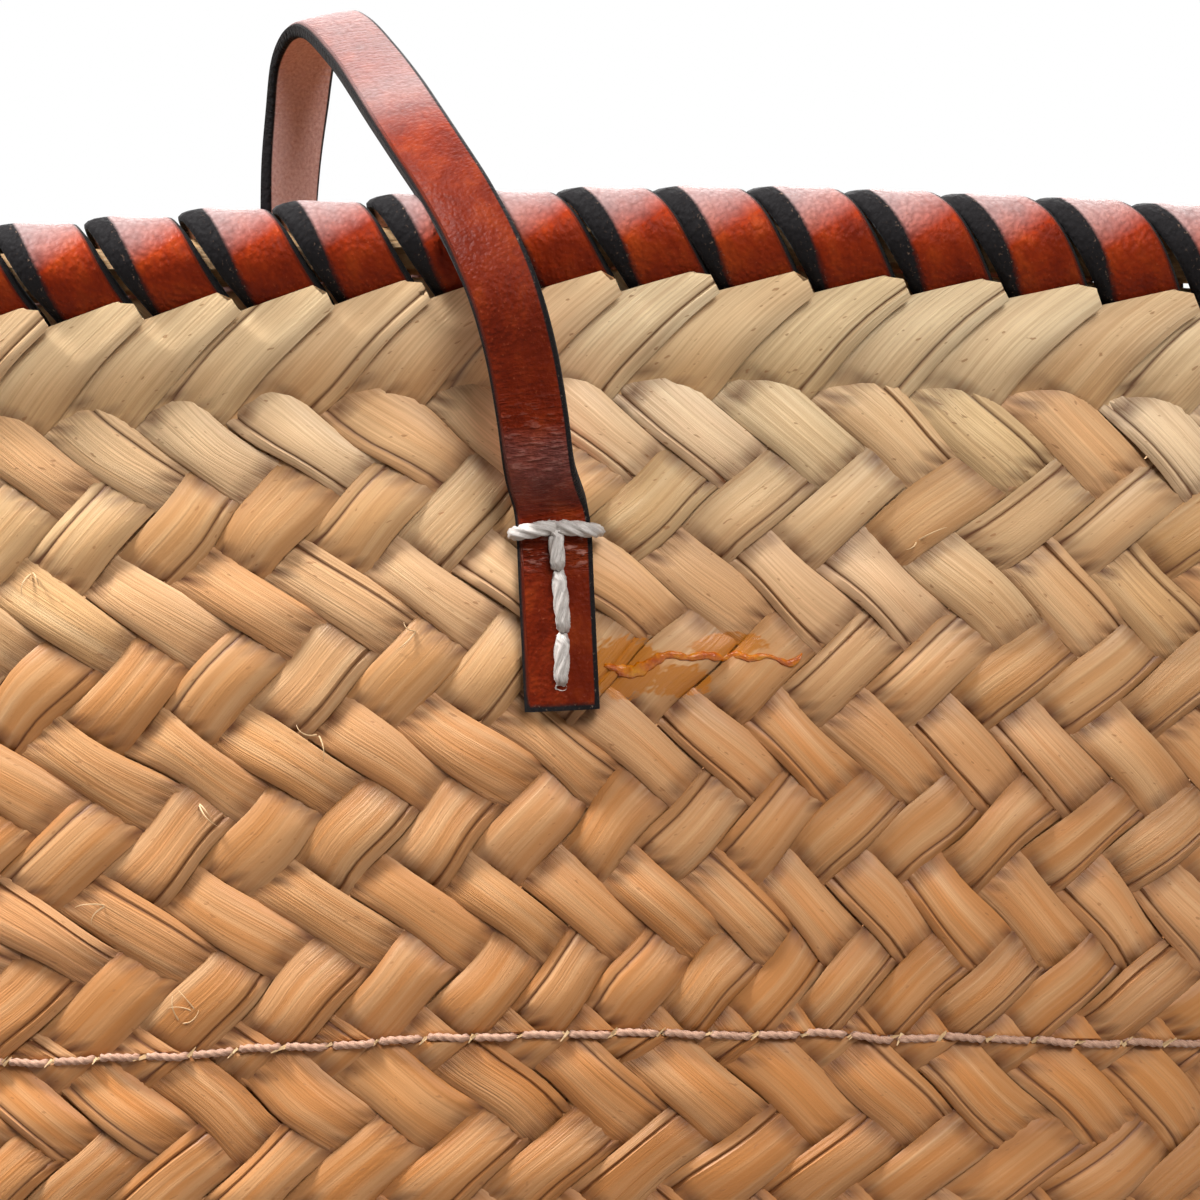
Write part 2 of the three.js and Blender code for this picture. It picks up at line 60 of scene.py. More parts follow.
PLAIT_THICKNESS = 2.4
HALF_PLAIT = PLAIT_THICKNESS / 2
RIM = (228.0, 100.0, 75.0)
BASE = (178.0, 84.0, 62.0)
CORNER_RADIUS = 25.0
BASE_FLAT_MARGIN = 13.2
WALL_FOOT_HEIGHT = HALF_PLAIT + CORNER_RADIUS
LOWER_SEAM_HEIGHT = 72.6
UPPER_SEAM_HEIGHT = 172.3
CORE_HEIGHT = 279.0
CORE_RADIUS = 3.6
WALL_TOP_HEIGHT = 275.1
SEAM_HALF_GAP = 0.15
WALL_BELLY = 2.0
RIM_WAY = 1096.0
RIM_DIP = 5.0
RIM_PEAK_SHARE = 0.405

# Sizes of the lace, straps and thread

LACE_TURNS = 84
LACE_WIDTH = 10.6
LACE_THICKNESS = 2.3
LACE_PHASE = -0.155
RIM_CORNER_PHASE = 1.035
RIM_STRAND_STEP = 8
RIM_CROWDING = 1.45
STRAP_WIDTH = 10.0
STRAP_THICKNESS = 2.4
STRAP_X = 95.2
STITCH_HEIGHT = 240.6
TAB_TOP_HEIGHT = 243.0
TAB_BOTTOM_HEIGHT = 216.2
STRAP_OFFSET = 2.7
HINGE_OFFSET = 6.4
HINGE_HEIGHT = 243.15
THREAD_RADIUS = 1.12
STITCH_REACH = 6.5
HOLE_DROPS = (0.0, 5.5, 13.9, 20.8)

# Camera and light


def new_object(name, data):
    made = bpy.data.objects.new(name, data)
    scene.collection.objects.link(made)
    return made


camera = new_object("close_view", bpy.data.cameras.new("close_view"))
camera.data.lens = 102.18
camera.data.sensor_width = 36
camera.data.clip_start = 0.01
camera.location = (0.18354, -0.53851, 0.23093)
camera.rotation_euler = (math.radians(90), 0, math.radians(10.472))
scene.camera = camera
scene.view_settings.view_transform = "Standard"

# Square lamps, in metres: place, what each looks at, energy and size
LAMPS = {
    "key_softbox": ((-0.6, -0.42, 1.25), (0.05, 0, 0.22), 31.5, 0.2),
    "front_softbox": ((0.6, -0.95, 0.95), (0.08, -0.05, 0.22), 13.6, 0.5),
    "fill_softbox": ((1.0, -1.3, 0.5), (0.05, 0, 0.2), 1.2, 1.2),
    "top_softbox": ((0.1, 0.35, 1.5), (0, 0, 0.25), 6, 0.9),
    "back_softbox": ((0.0, 1.5, 1.2), (0, 0, 0.25), 23, 1.3),
}
for name, (place, target, energy, size) in LAMPS.items():
    lamp = new_object(name, bpy.data.lights.new(name, "AREA"))
    lamp.data.energy = energy
    lamp.data.size = size
    lamp.location = place
    x, y, z = np.array(target) - np.array(place)
    lamp.rotation_euler = (math.atan2(math.hypot(x, y), -z), 0, math.atan2(-x, y))

# Materials


def linear(value):
    return value / 12.92 if value <= 0.04045 else ((value + 0.055) / 1.055) ** 2.4


def colour(hex_code):
    """Linear colour of an sRGB hex value."""
    parts = [int(hex_code[i:i + 2], 16) / 255 for i in (1, 3, 5)]
    return [linear(part) for part in parts] + [1.0]


def fill(node, inputs):
    """Sets a node's inputs: a socket is linked, and any other value is written on it."""
    for key, value in inputs.items():
        if isinstance(value, bpy.types.NodeSocket):
            node.id_data.links.new(value, node.inputs[key])
        else:
            node.inputs[key].default_value = value


def add_node(kind, inputs, tree=None, **settings):
    """Adds a node to a tree, or to the tree that its linked inputs come from."""
    sockets = [value for value in inputs.values() if isinstance(value, bpy.types.NodeSocket)]
    made = (tree or sockets[0].id_data).nodes.new(kind)
    for key, value in settings.items():
        setattr(made, key, value)
    fill(made, inputs)
    return made


def new_material(name, finish):
    """A material and its Principled shader, whose plain sockets take the finish values."""
    material = bpy.data.materials.new(name)
    material.use_nodes = True
    shader = material.node_tree.nodes["Principled BSDF"]
    fill(shader, finish)
    return material, shader


def attribute(shader, name):
    """Outputs of a value that the mesh holds at each point."""
    return add_node("ShaderNodeAttribute", {}, shader.id_data, attribute_name=name).outputs


def ramp(factor, stops):
    """A colour ramp from (place, hex colour) stops."""
    made = add_node("ShaderNodeValToRGB", {"Fac": factor})
    elements = made.color_ramp.elements
    while len(elements) < len(stops):
        elements.new(0.5)
    for element, (place, hex_code) in zip(elements, stops):
        element.position = place
        element.color = colour(hex_code)
    return made.outputs["Color"]


def mix(factor, first, second, blend="MIX"):
    return add_node("ShaderNodeMix", {0: factor, 6: first, 7: second},
                    data_type="RGBA", blend_type=blend).outputs[2]


def math_node(operation, first, second):
    return add_node("ShaderNodeMath", {0: first, 1: second}, operation=operation).outputs[0]


times = partial(math_node, "MULTIPLY")
plus = partial(math_node, "ADD")
minus = partial(math_node, "SUBTRACT")
larger = partial(math_node, "MAXIMUM")


def spread(value, low, high, to_low=0.0, to_high=1.0):
    """Maps a value from low..high to a new range, held at its ends."""
    return add_node("ShaderNodeMapRange", {
        "Value": value, "From Min": low, "From Max": high, "To Min": to_low, "To Max": to_high,
    }).outputs["Result"]


def scaled(place, scale):
    return add_node("ShaderNodeVectorMath", {0: place, 1: scale},
                    operation="MULTIPLY").outputs[0]


def stretched_noise(place, scale, detail=3.0, roughness=0.55):
    """Noise on a vector scaled per axis: scale is in cycles a millimetre."""
    return add_node("ShaderNodeTexNoise", {
        "Vector": scaled(place, scale), "Scale": 1.0, "Detail": detail, "Roughness": roughness,
    }).outputs["Fac"]


def bump(height, strength, distance):
    return add_node("ShaderNodeBump", {
        "Height": height, "Strength": strength, "Distance": distance,
    }).outputs["Normal"]


def split_palm_leaf(name, warmth):
    """Dried palm leaf split into strands: satin, with fine raised fibres along each strand,
    brown flecks and a slow change of tone from strand to strand. Warmth makes the lower
    bands darker and browner."""
    material, shader = new_material(name, {"Specular IOR Level": 0.26})
    fibre = attribute(shader, "fibre")["Vector"]
    # Fibres lie about 0.3 mm apart and run for tens of millimetres.
    fine = stretched_noise(fibre, (3.2, 0.035, 1.0), 4.0, 0.66)
    broad = stretched_noise(fibre, (0.6, 0.016, 1.0), 2.0)
    ribbed = stretched_noise(fibre, (0.0, 0.0, 1.7), 0.0)
    slow = stretched_noise(fibre, (0.1, 0.05, 1.0), 2.0)
    flecks = stretched_noise(fibre, (1.5, 0.7, 3.0), 1.0)
    base = mix(warmth, attribute(shader, "tone")["Color"], colour("#B57A45"))
    light = mix(spread(broad, 0.42, 0.72, 0.0, 0.2), base, colour("#F1DDB4"))
    brown = mix(spread(slow, 0.5, 0.72, 0.0, 0.18), light, colour("#B98250"))
    streaked = mix(spread(fine, 0.38, 0.6, 0.36, 0.0), brown, colour("#9C6C3E"))
    flecked = mix(spread(flecks, 0.715, 0.76, 0.0, 0.65), streaked, colour("#94633B"))
    # Painted highlight: the crowns of the floats are painted paler.
    highlight_share = spread(attribute(shader, "crown_highlight")["Fac"], 0.25, 1.0, 0.0, 0.62)
    highlighted = mix(highlight_share, flecked, (1.5, 1.48, 1.44, 1), "MULTIPLY")
    # Painted shade where strands dive under others, along fold lines and under overlapping
    # neighbours.
    shade_share = spread(attribute(shader, "dive_shade")["Fac"], 0.24, 0.9, 0.0, 0.94)
    dive_shaded = mix(shade_share, highlighted, colour("#552A0B"))
    ragged = plus(attribute(shader, "stain")["Fac"], times(flecks, 0.4))
    glued = spread(ragged, 0.68, 0.76)
    relief = plus(times(fine, spread(ribbed, 0.42, 0.6, 0.5, 1.6)), broad)
    fill(shader, {
        "Base Color": mix(times(glued, 0.86), dive_shaded, colour("#B66C0C")),
        "Roughness": minus(spread(fine, 0.3, 0.7, 0.55, 0.36), times(glued, 0.2)),
        "Normal": bump(relief, 0.7, 0.00025),
    })
    return material


def dyed_leather(name, pebble, tans):
    """Vegetable-tanned cowhide strip, cognac, wiped with wax and dyed black along its cut
    edges: a fine pebbled grain with a soft pale sheen, scuffed where it is rubbed, and a
    duller pink flesh side. Light is painted in too: the finish's alpha darkens the colour
    below 1, partly as painted shade, and lays a painted pale sheen above 1, and wrinkles
    get painted shade in their valleys and painted glints on their ridges. Pebble is how deep
    the grain is, and tans are its dark, middle and light colours."""
    material, shader = new_material(name, {
        "Specular IOR Level": 0.05, "Sheen Weight": 0.04, "Sheen Roughness": 0.4,
    })
    hide = attribute(shader, "hide")["Vector"]
    finish = attribute(shader, "finish")
    dye, flesh, crease = add_node("ShaderNodeSeparateColor", {"Color": finish["Color"]}).outputs
    mottling = stretched_noise(hide, (0.22, 0.16, 1.0))
    grain = stretched_noise(hide, (2.0, 1.8, 1.0), 3.0, 0.6)
    pebbles = add_node("ShaderNodeTexVoronoi", {
        "Vector": scaled(hide, (1.7, 1.5, 1.0)), "Scale": 1.0,
    }, feature="SMOOTH_F1").outputs["Distance"]
    wrinkles = spread(stretched_noise(hide, (0.36, 1.4, 1.0), 3.0, 0.6), 0.36, 0.62)
    even = ramp(mottling, list(zip((0.3, 0.5, 0.7), tans)))
    # Painted light: below 1 the finish's alpha darkens the colour, partly as painted shade, and
    # above 1 it lays a painted pale sheen.
    darkening = spread(minus(1.0, finish["Alpha"]), 0.0, 1.0)
    darkened = mix(darkening, even, colour("#2A0B05"))
    sheened = mix(spread(finish["Alpha"], 1.0, 2.0), darkened, colour("#9A8C8A"))
    # Painted shade in the valleys of the wrinkles and painted glints on their ridges.
    valley = times(crease, minus(0.6, wrinkles))
    crease_shaded = mix(spread(valley, 0.0, 0.7, 0.0, 0.5), sheened, colour("#2A0B05"))
    crease_glinted = mix(spread(valley, -0.08, -0.4, 0.0, 0.5), crease_shaded, colour("#CF9A8C"))
    dotted = mix(spread(pebbles, 0.35, 0.75, 0.0, 0.3), crease_glinted, colour("#52150A"))
    worn = mix(spread(grain, 0.62, 0.75, 0.0, 0.3), dotted, colour("#B8603F"))
    inner = ramp(grain, [(0.3, "#CC9C94"), (0.7, "#EAC8C2")])
    edge = spread(plus(dye, times(grain, 0.3)), 0.45, 0.8)
    scuff = times(spread(grain, 0.6, 0.72), minus(1.0, spread(dye, 0.8, 1.0)))
    black = mix(times(scuff, 0.7), colour("#181617"), colour("#8D7464"))
    fine_relief = plus(times(pebbles, -pebble), times(grain, 0.5))
    relief = plus(times(times(wrinkles, crease), 2.0), fine_relief)
    fill(shader, {
        "Base Color": mix(edge, mix(flesh, worn, inner), black),
        "Roughness": plus(spread(grain, 0.3, 0.7, 0.32, 0.5), times(larger(edge, flesh), 0.25)),
        "Normal": bump(relief, 0.8, 0.0003),
    })
    return material


def spun_fibre(name, pale, deep, shine):
    """Plied thread or twine: short fibres in each ply, paler and darker at random."""
    material, shader = new_material(name, {"Roughness": shine, "Sheen Weight": 0.2})
    fine = stretched_noise(attribute(shader, "fibre")["Vector"], (5.0, 0.9, 1.0))
    fill(shader, {"Base Color": ramp(fine, [(0.3, deep), (0.65, pale)]),
                  "Normal": bump(fine, 0.5, 0.00012)})
    return material


palm_upper = split_palm_leaf("split_palm_leaf_upper", 0.0)
palm_middle = split_palm_leaf("split_palm_leaf_middle", 0.16)
palm_lower = split_palm_leaf("split_palm_leaf_lower", 0.2)
palm_base = split_palm_leaf("split_palm_leaf_base", 0.24)
palm_bundle = split_palm_leaf("palm_rib_core", 0.3)
lace_leather = dyed_leather("dyed_cowhide_lace", 0.75, ("#7A2108", "#98300E", "#AE4316"))
strap_leather = dyed_leather("dyed_cowhide_strap", 0.6, ("#621803", "#782409", "#903612"))
waxed_thread = spun_fibre("waxed_linen_thread", "#CCC5BF", "#9C938C", 0.55)
seam_twine = spun_fibre("spun_palm_twine", "#C79F86", "#8A5F47", 0.7)

# The bag's surface


def plan_values(half_length, half_depth, end_radius):
    """Arcs of the bag's plan: two long arcs joined by two round ends."""
    end_centre = half_length - end_radius
    long_radius = end_centre ** 2 + half_depth ** 2 - end_radius ** 2
    long_radius = long_radius / (2 * (half_depth - end_radius))
    long_centre = long_radius - half_depth
    return end_centre, long_radius, long_centre, np.arctan2(long_centre, end_centre)


def way_round(half_length, half_depth, end_radius):
    """Length of the way round the plan."""
    _, long_radius, _, turn = plan_values(half_length, half_depth, end_radius)
    return 4 * (math.pi / 2 - turn) * long_radius + 4 * turn * end_radius


def plan_point(half_length, half_depth, end_radius, share):
    """Place and outward angle at a share of the way round, from the front's middle to +X."""
    end_centre, long_radius, long_centre, turn = plan_values(
        half_length, half_depth, end_radius)
    half_front = (math.pi / 2 - turn) * long_radius
    end = 2 * turn * end_radius
    left = (share - np.floor(share)) * (4 * half_front + 2 * end)
    starts = [0, half_front, half_front + end, 3 * half_front + end, 3 * half_front + 2 * end]
    zone = sum((left > start).astype(int) for start in starts[1:])

    def chosen(*values):
        return np.choose(zone, [np.broadcast_to(value, left.shape) for value in values])

    radius = chosen(long_radius, end_radius, long_radius, end_radius, long_radius)
    angle = chosen(-math.pi / 2, -turn, turn, math.pi - turn, math.pi + turn)
    angle = angle + (left - chosen(*starts)) / radius
    x = chosen(0, end_centre, 0, -end_centre, 0) + radius * np.cos(angle)
    y = chosen(long_centre, 0, -long_centre, 0, long_centre) + radius * np.sin(angle)
    return x, y, angle


def rim_dip(share):
    """How far the rim hangs below its peaks, where the straps pull it up."""
    half = share * 2 - np.floor(share * 2)
    quarter = np.minimum(half, 1 - half) * 2
    rising = np.cos(math.pi / 2 * quarter / RIM_PEAK_SHARE) ** 2
    falling = np.sin(math.pi / 2 * (quarter - RIM_PEAK_SHARE) / (1 - RIM_PEAK_SHARE)) ** 2
    return RIM_DIP * np.where(quarter < RIM_PEAK_SHARE, rising, falling)


def wall_station(height):
    """Plan, height and facing of the wall at a height: half length, half depth, end radius,
    height, outward part, upward part, share of the rim's dip."""
    height = np.asarray(height, float)
    rise = (height - WALL_FOOT_HEIGHT) / (CORE_HEIGHT - WALL_FOOT_HEIGHT)
    belly = WALL_BELLY * np.sin(math.pi * np.clip(rise, 0, 1))
    wave = np.clip((height - WALL_FOOT_HEIGHT) / (UPPER_SEAM_HEIGHT - WALL_FOOT_HEIGHT), 0, 1)
    plan = [low + (high - low) * rise + belly for low, high in zip(BASE, RIM)]
    return (*plan, height, np.ones_like(height), np.zeros_like(height), wave)


def foot_station(length):
    """The same for the lower band, by the length along its section from the floor seam."""
    length = np.asarray(length, float)
    bend_end = BASE_FLAT_MARGIN + CORNER_RADIUS * math.pi / 2
    on_floor = length < BASE_FLAT_MARGIN
    on_wall = length > bend_end
    angle = np.clip((bend_end - length) / CORNER_RADIUS, 0, math.pi / 2)
    flat_inset = CORNER_RADIUS + BASE_FLAT_MARGIN - length
    inset = np.where(on_floor, flat_inset, CORNER_RADIUS * (1 - np.cos(angle)))
    bent_height = WALL_FOOT_HEIGHT - CORNER_RADIUS * np.sin(angle)
    wall = wall_station(WALL_FOOT_HEIGHT + np.maximum(length - bend_end, 0))
    plan = [np.where(on_wall, high, low - inset) for high, low in zip(wall[:3], BASE)]
    height = np.where(on_wall, wall[3], np.where(on_floor, HALF_PLAIT, bent_height))
    out = np.where(on_wall, 1, np.where(on_floor, 0, np.cos(angle)))
    up = np.where(on_wall, 0, np.where(on_floor, -1, -np.sin(angle)))
    return (*plan, height, out, up, np.where(on_wall, wall[6], 0))


def along_surface(station, rise):
    """A station moved up the wall. On the flat floor it stays."""
    return (*station[:3], station[3] + np.abs(station[4]) * rise, *station[4:])


def stacked(*parts):
    """Joins values of matching shapes into vectors."""
    return np.stack(np.broadcast_arrays(*parts), axis=-1)


def surface(station, share, offset):
    """A point set off from the middle of the plait along the way that the surface faces."""
    half_length, half_depth, end_radius, height, out, up, wave = station
    share = share + np.zeros_like(height)
    x, y, angle = plan_point(half_length, half_depth, end_radius, share)
    reach = offset * out
    z = height + offset * up - wave * rim_dip(share)
    return stacked(x + reach * np.cos(angle), y + reach * np.sin(angle), z)


def on_front(x, height, offset):
    """A point of the front wall by its X and height, with the wall's own directions."""
    _, long_radius, long_centre, _ = plan_values(*wall_station(height)[:3])
    angle = math.asin(x / long_radius)
    normal = np.array([math.sin(angle), -math.cos(angle), 0.0])
    tangent = np.array([math.cos(angle), math.sin(angle), 0.0])
    point = np.array([0.0, long_centre, height]) + normal * (long_radius + offset)
    return point, normal, tangent


def wobble(seed, share, length, reach=1.0):
    """Smooth unevenness of hand work, the same after each way round."""
    random = np.random.default_rng(seed)
    total = 0
    for _ in range(9):
        turns = random.integers(4, 75)
        rise = random.uniform(-0.18, 0.18)
        phase = random.uniform(0, 2 * math.pi)
        total = total + np.sin(2 * math.pi * turns * share + rise * length + phase)
    return reach * total / 3


def bell(value, middle, width):
    """1 at the middle, and smoothly down to 0 on both sides."""
    return np.exp(-((value - middle) / width) ** 2)


def eased(part):
    """A share from 0 to 1 that starts and ends gently."""
    return part ** 2 * (3 - 2 * part)

# Meshes


def unit(vectors):
    return vectors / np.linalg.norm(vectors, axis=-1, keepdims=True)


def ring_angles(sides):
    return 2 * math.pi * np.arange(sides) / sides


def run_length(points):
    """Length along a line of points, from 0 at the first."""
    steps = np.linalg.norm(np.diff(points, axis=0), axis=1)
    return np.concatenate([[0], np.cumsum(steps)])


def heading_round(path):
    """The way that a closed line runs at each of its points."""
    return unit(np.roll(path, -1, axis=0) - np.roll(path, 1, axis=0))


def swept(path, side, across, up, height):
    """A section carried along a path, by its points' places along two directions."""
    across = np.atleast_2d(across)[..., None]
    height = np.atleast_2d(height)[..., None]
    return path[:, None, :] + side[:, None, :] * across + up[:, None, :] * height


def tube(path, along, side, reach, turn):
    """A closed section swept along a path, by its points' reach and angle."""
    return swept(path, side, reach * np.cos(turn), np.cross(along, side),
                 reach * np.sin(turn))


def make_piece(name, points, material, attributes, ring_closed=False, sharp=40):
    """Joins runs of equal sections into one mesh. Points are runs x rings x section x 3."""
    runs, rings, size = points.shape[:3]
    spans = rings if ring_closed else rings - 1
    index = np.arange(runs * rings * size).reshape(runs, rings, size)
    beside = np.roll(index, -1, axis=2)
    corners = [index, np.roll(index, -1, axis=1), np.roll(beside, -1, axis=1), beside]
    quads = np.stack(corners, axis=-1)[:, :spans].reshape(-1, 4)
    flat = points.reshape(-1, 3)
    a, b, c, d = (flat[quads[:spans * size, k]] for k in range(4))
    inward = np.sum(a * (np.cross(b, c) + np.cross(c, d))) < 0
    outward_order = slice(None, None, -1 if inward else 1)
    loops = quads[:, outward_order].ravel()
    totals = np.full(len(quads), 4)
    if not ring_closed:
        caps = np.concatenate([index[:, 0], index[:, -1, ::-1]])[:, outward_order]
        loops = np.concatenate([loops, caps.ravel()])
        totals = np.concatenate([totals, np.full(len(caps), size)])
    mesh = bpy.data.meshes.new(name)
    mesh.vertices.add(len(flat))
    mesh.vertices.foreach_set("co", (flat * MM).astype(np.float32).ravel())
    mesh.loops.add(len(loops))
    mesh.loops.foreach_set("vertex_index", loops.astype(np.int32))
    mesh.polygons.add(len(totals))
    mesh.polygons.foreach_set("loop_start", (np.cumsum(totals) - totals).astype(np.int32))
    mesh.update(calc_edges=True)
    mesh.validate()
    mesh.polygons.foreach_set("use_smooth", np.ones(len(totals), bool))
    mesh.set_sharp_from_angle(angle=math.radians(sharp))
    kinds = {1: ("FLOAT", "value"), 3: ("FLOAT_VECTOR", "vector"), 4: ("FLOAT_COLOR", "color")}
    for key, values in attributes.items():
        wide = values.shape[-1]
        kind, field = kinds[wide]
        full = np.broadcast_to(values, (*points.shape[:3], wide))
        made = mesh.attributes.new(key, kind, "POINT")
        made.data.foreach_set(field, full.astype(np.float32).ravel())
    mesh.materials.append(material)
    piece = new_object(name, mesh)
    return piece


def set_on_bag(piece, node):
    """Lets a piece ride on the bag in place of its plain solid."""
    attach(piece, "bag")
    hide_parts(node)


def curve_through(stops, step):
    """A centripetal curve through stops, sampled about every step. Returns the samples and
    the place of each along the stops, counted in stops."""
    stops = np.asarray(stops, float)
    padded = np.vstack([2 * stops[0] - stops[1], stops, 2 * stops[-1] - stops[-2]])
    samples = []
    places = []
    for i in range(len(stops) - 1):
        before, one, two, after = padded[i:i + 4]
        gap_a, gap_b, gap_c = (max(np.linalg.norm(q - p) ** 0.5, 1e-4)
                               for p, q in ((before, one), (one, two), (two, after)))
        slope_one = (one - before) / gap_a - (two - before) / (gap_a + gap_b)
        slope_one = (slope_one + (two - one) / gap_b) * gap_b
        slope_two = (two - one) / gap_b - (after - one) / (gap_b + gap_c)
        slope_two = (slope_two + (after - two) / gap_c) * gap_b
        count = max(2, round(np.linalg.norm(two - one) / step))
        for k in range(count + 1 if i == len(stops) - 2 else count):
            t = k / count
            samples.append((2 * t ** 3 - 3 * t ** 2 + 1) * one
                           + (t ** 3 - 2 * t ** 2 + t) * slope_one
                           + (3 * t ** 2 - 2 * t ** 3) * two
                           + (t ** 3 - t ** 2) * slope_two)
            places.append(i + t)
    return np.array(samples), np.array(places)

# Plaited bands

# Strand colours of the sun-dried leaf, and how common each is: cream, straw, greenish, tan
STRAND_TONES = {"#E2C8A2": 0.2, "#DAB98D": 0.22, "#D3AE80": 0.18, "#DEC096": 0.14,
                "#CCB483": 0.1, "#CFA273": 0.1, "#C6986A": 0.06}
STRAND_THICKNESS = 0.62
STRAND_RISE = 1.42
STRAND_CROWN = 1.0
ROW_RISE = 5.38
BROWNING = 0.76
BROWNING_SWING = 0.08
PRESSED_FLAT = 0.02
# How much the led top ends of the rising strands are painted paler, as painted light
TOP_ROW_PAINTED_LIGHT = 0.3
# Painted light: rising strands are painted darker and browner, and falling ones paler, for the
# way the light falls on each family
FAMILY_PAINTED_LIGHT = {1: np.array([0.9, 0.88, 0.82, 1]), -1: np.array([1.12, 1.14, 1.19, 1])}
TOP_SIDES = (-1, -0.88, -0.5, -0.05, 0.4, 0.55, 0.64, 0.73, 0.94, 1)
UNDER_SIDES = (0.9, 0.0, -0.9)
FOLD_SIDE = 0.64
# Where glue has soaked in beside the front right tab: along the wall, up, and half sizes
GLUE_SPOTS = [(118.0, 225.0, 6.0, 1.6), (104.3, 221.8, 5.2, 4.3), (112.2, 219.9, 4.6, 2.0)]


def over_and_under(phase):
    """Height of a strand in a two-over, two-under twill, from -1 to 1 over four crossings."""
    wave = np.cos(math.pi / 2 * phase)
    return np.sign(wave) * np.abs(wave) ** 0.6


def strand_values(random, count):
    """Random differences between strands."""
    tones = np.array([colour(code) for code in STRAND_TONES])
    weights = list(STRAND_TONES.values())
    picked = random.choice(len(tones), count, p=weights)
    neighbour = random.choice(len(tones), count, p=weights)
    share = random.uniform(0, 0.5, (count, 1))
    values = {
        "tone": tones[picked] * (1 - share) + tones[neighbour] * share,
        "half_width": random.uniform(0.478, 0.52, count),
        "shift": np.clip(random.normal(0, 0.014, count), -0.02, 0.02),
        "tilt": random.normal(0, 0.17, count),
        "lift": random.normal(0, 0.05, count),
        "groove": np.where(random.uniform(0, 1, count) < 0.48,
                           random.uniform(0.2, 0.42, count), 0.0),
        "flip": random.choice([-1.0, 1.0], count),
        "seed": random.uniform(0, 400, count),
        "sway": random.uniform(0, 2 * math.pi, count),
    }
    return SimpleNamespace(**{key: value[:, None, None] for key, value in values.items()})


def strand_section(strand):
    """Across place, height and fold shade of each section point: a flat top with a fold line
    in some strands, and a flat underside."""
    sides = np.array(TOP_SIDES + UNDER_SIDES)
    fold = bell(sides, FOLD_SIDE, 0.05)
    rounded = np.where(np.abs(sides) > 0.97, 0.45, 1.0)
    top = STRAND_THICKNESS / 2 * rounded - strand.groove * fold
    on_top = np.arange(len(sides)) < len(TOP_SIDES)
    height = np.where(on_top, top, -STRAND_THICKNESS / 2)
    return sides * strand.flip, height, fold * np.where(strand.groove > 0, 0.9, 0.0)


def plain_leaf(fibre, hex_code):
    """What the points of a small palm piece hold: one tone, and no shade between strands."""
    return {"fibre": fibre, "tone": np.array(colour(hex_code)), "dive_shade": np.zeros(1)}


def glue_share(along, height):
    """1 in the middle of a glue stain, 0.5 at its edge and 0 well outside."""
    nearest = 2.0
    for spot_along, spot_height, wide, tall in GLUE_SPOTS:
        reach = np.hypot((along - spot_along) / wide, (height - spot_height) / tall)
        nearest = np.minimum(nearest, reach)
    return 1 - nearest / 2


def lean_of_hand(share):
    """Slow change of the plait's slant round the bag, in mm of slide a mm of height."""
    return -0.15 + 0.15 * np.sin(2 * math.pi * 4 * share - 2.878)


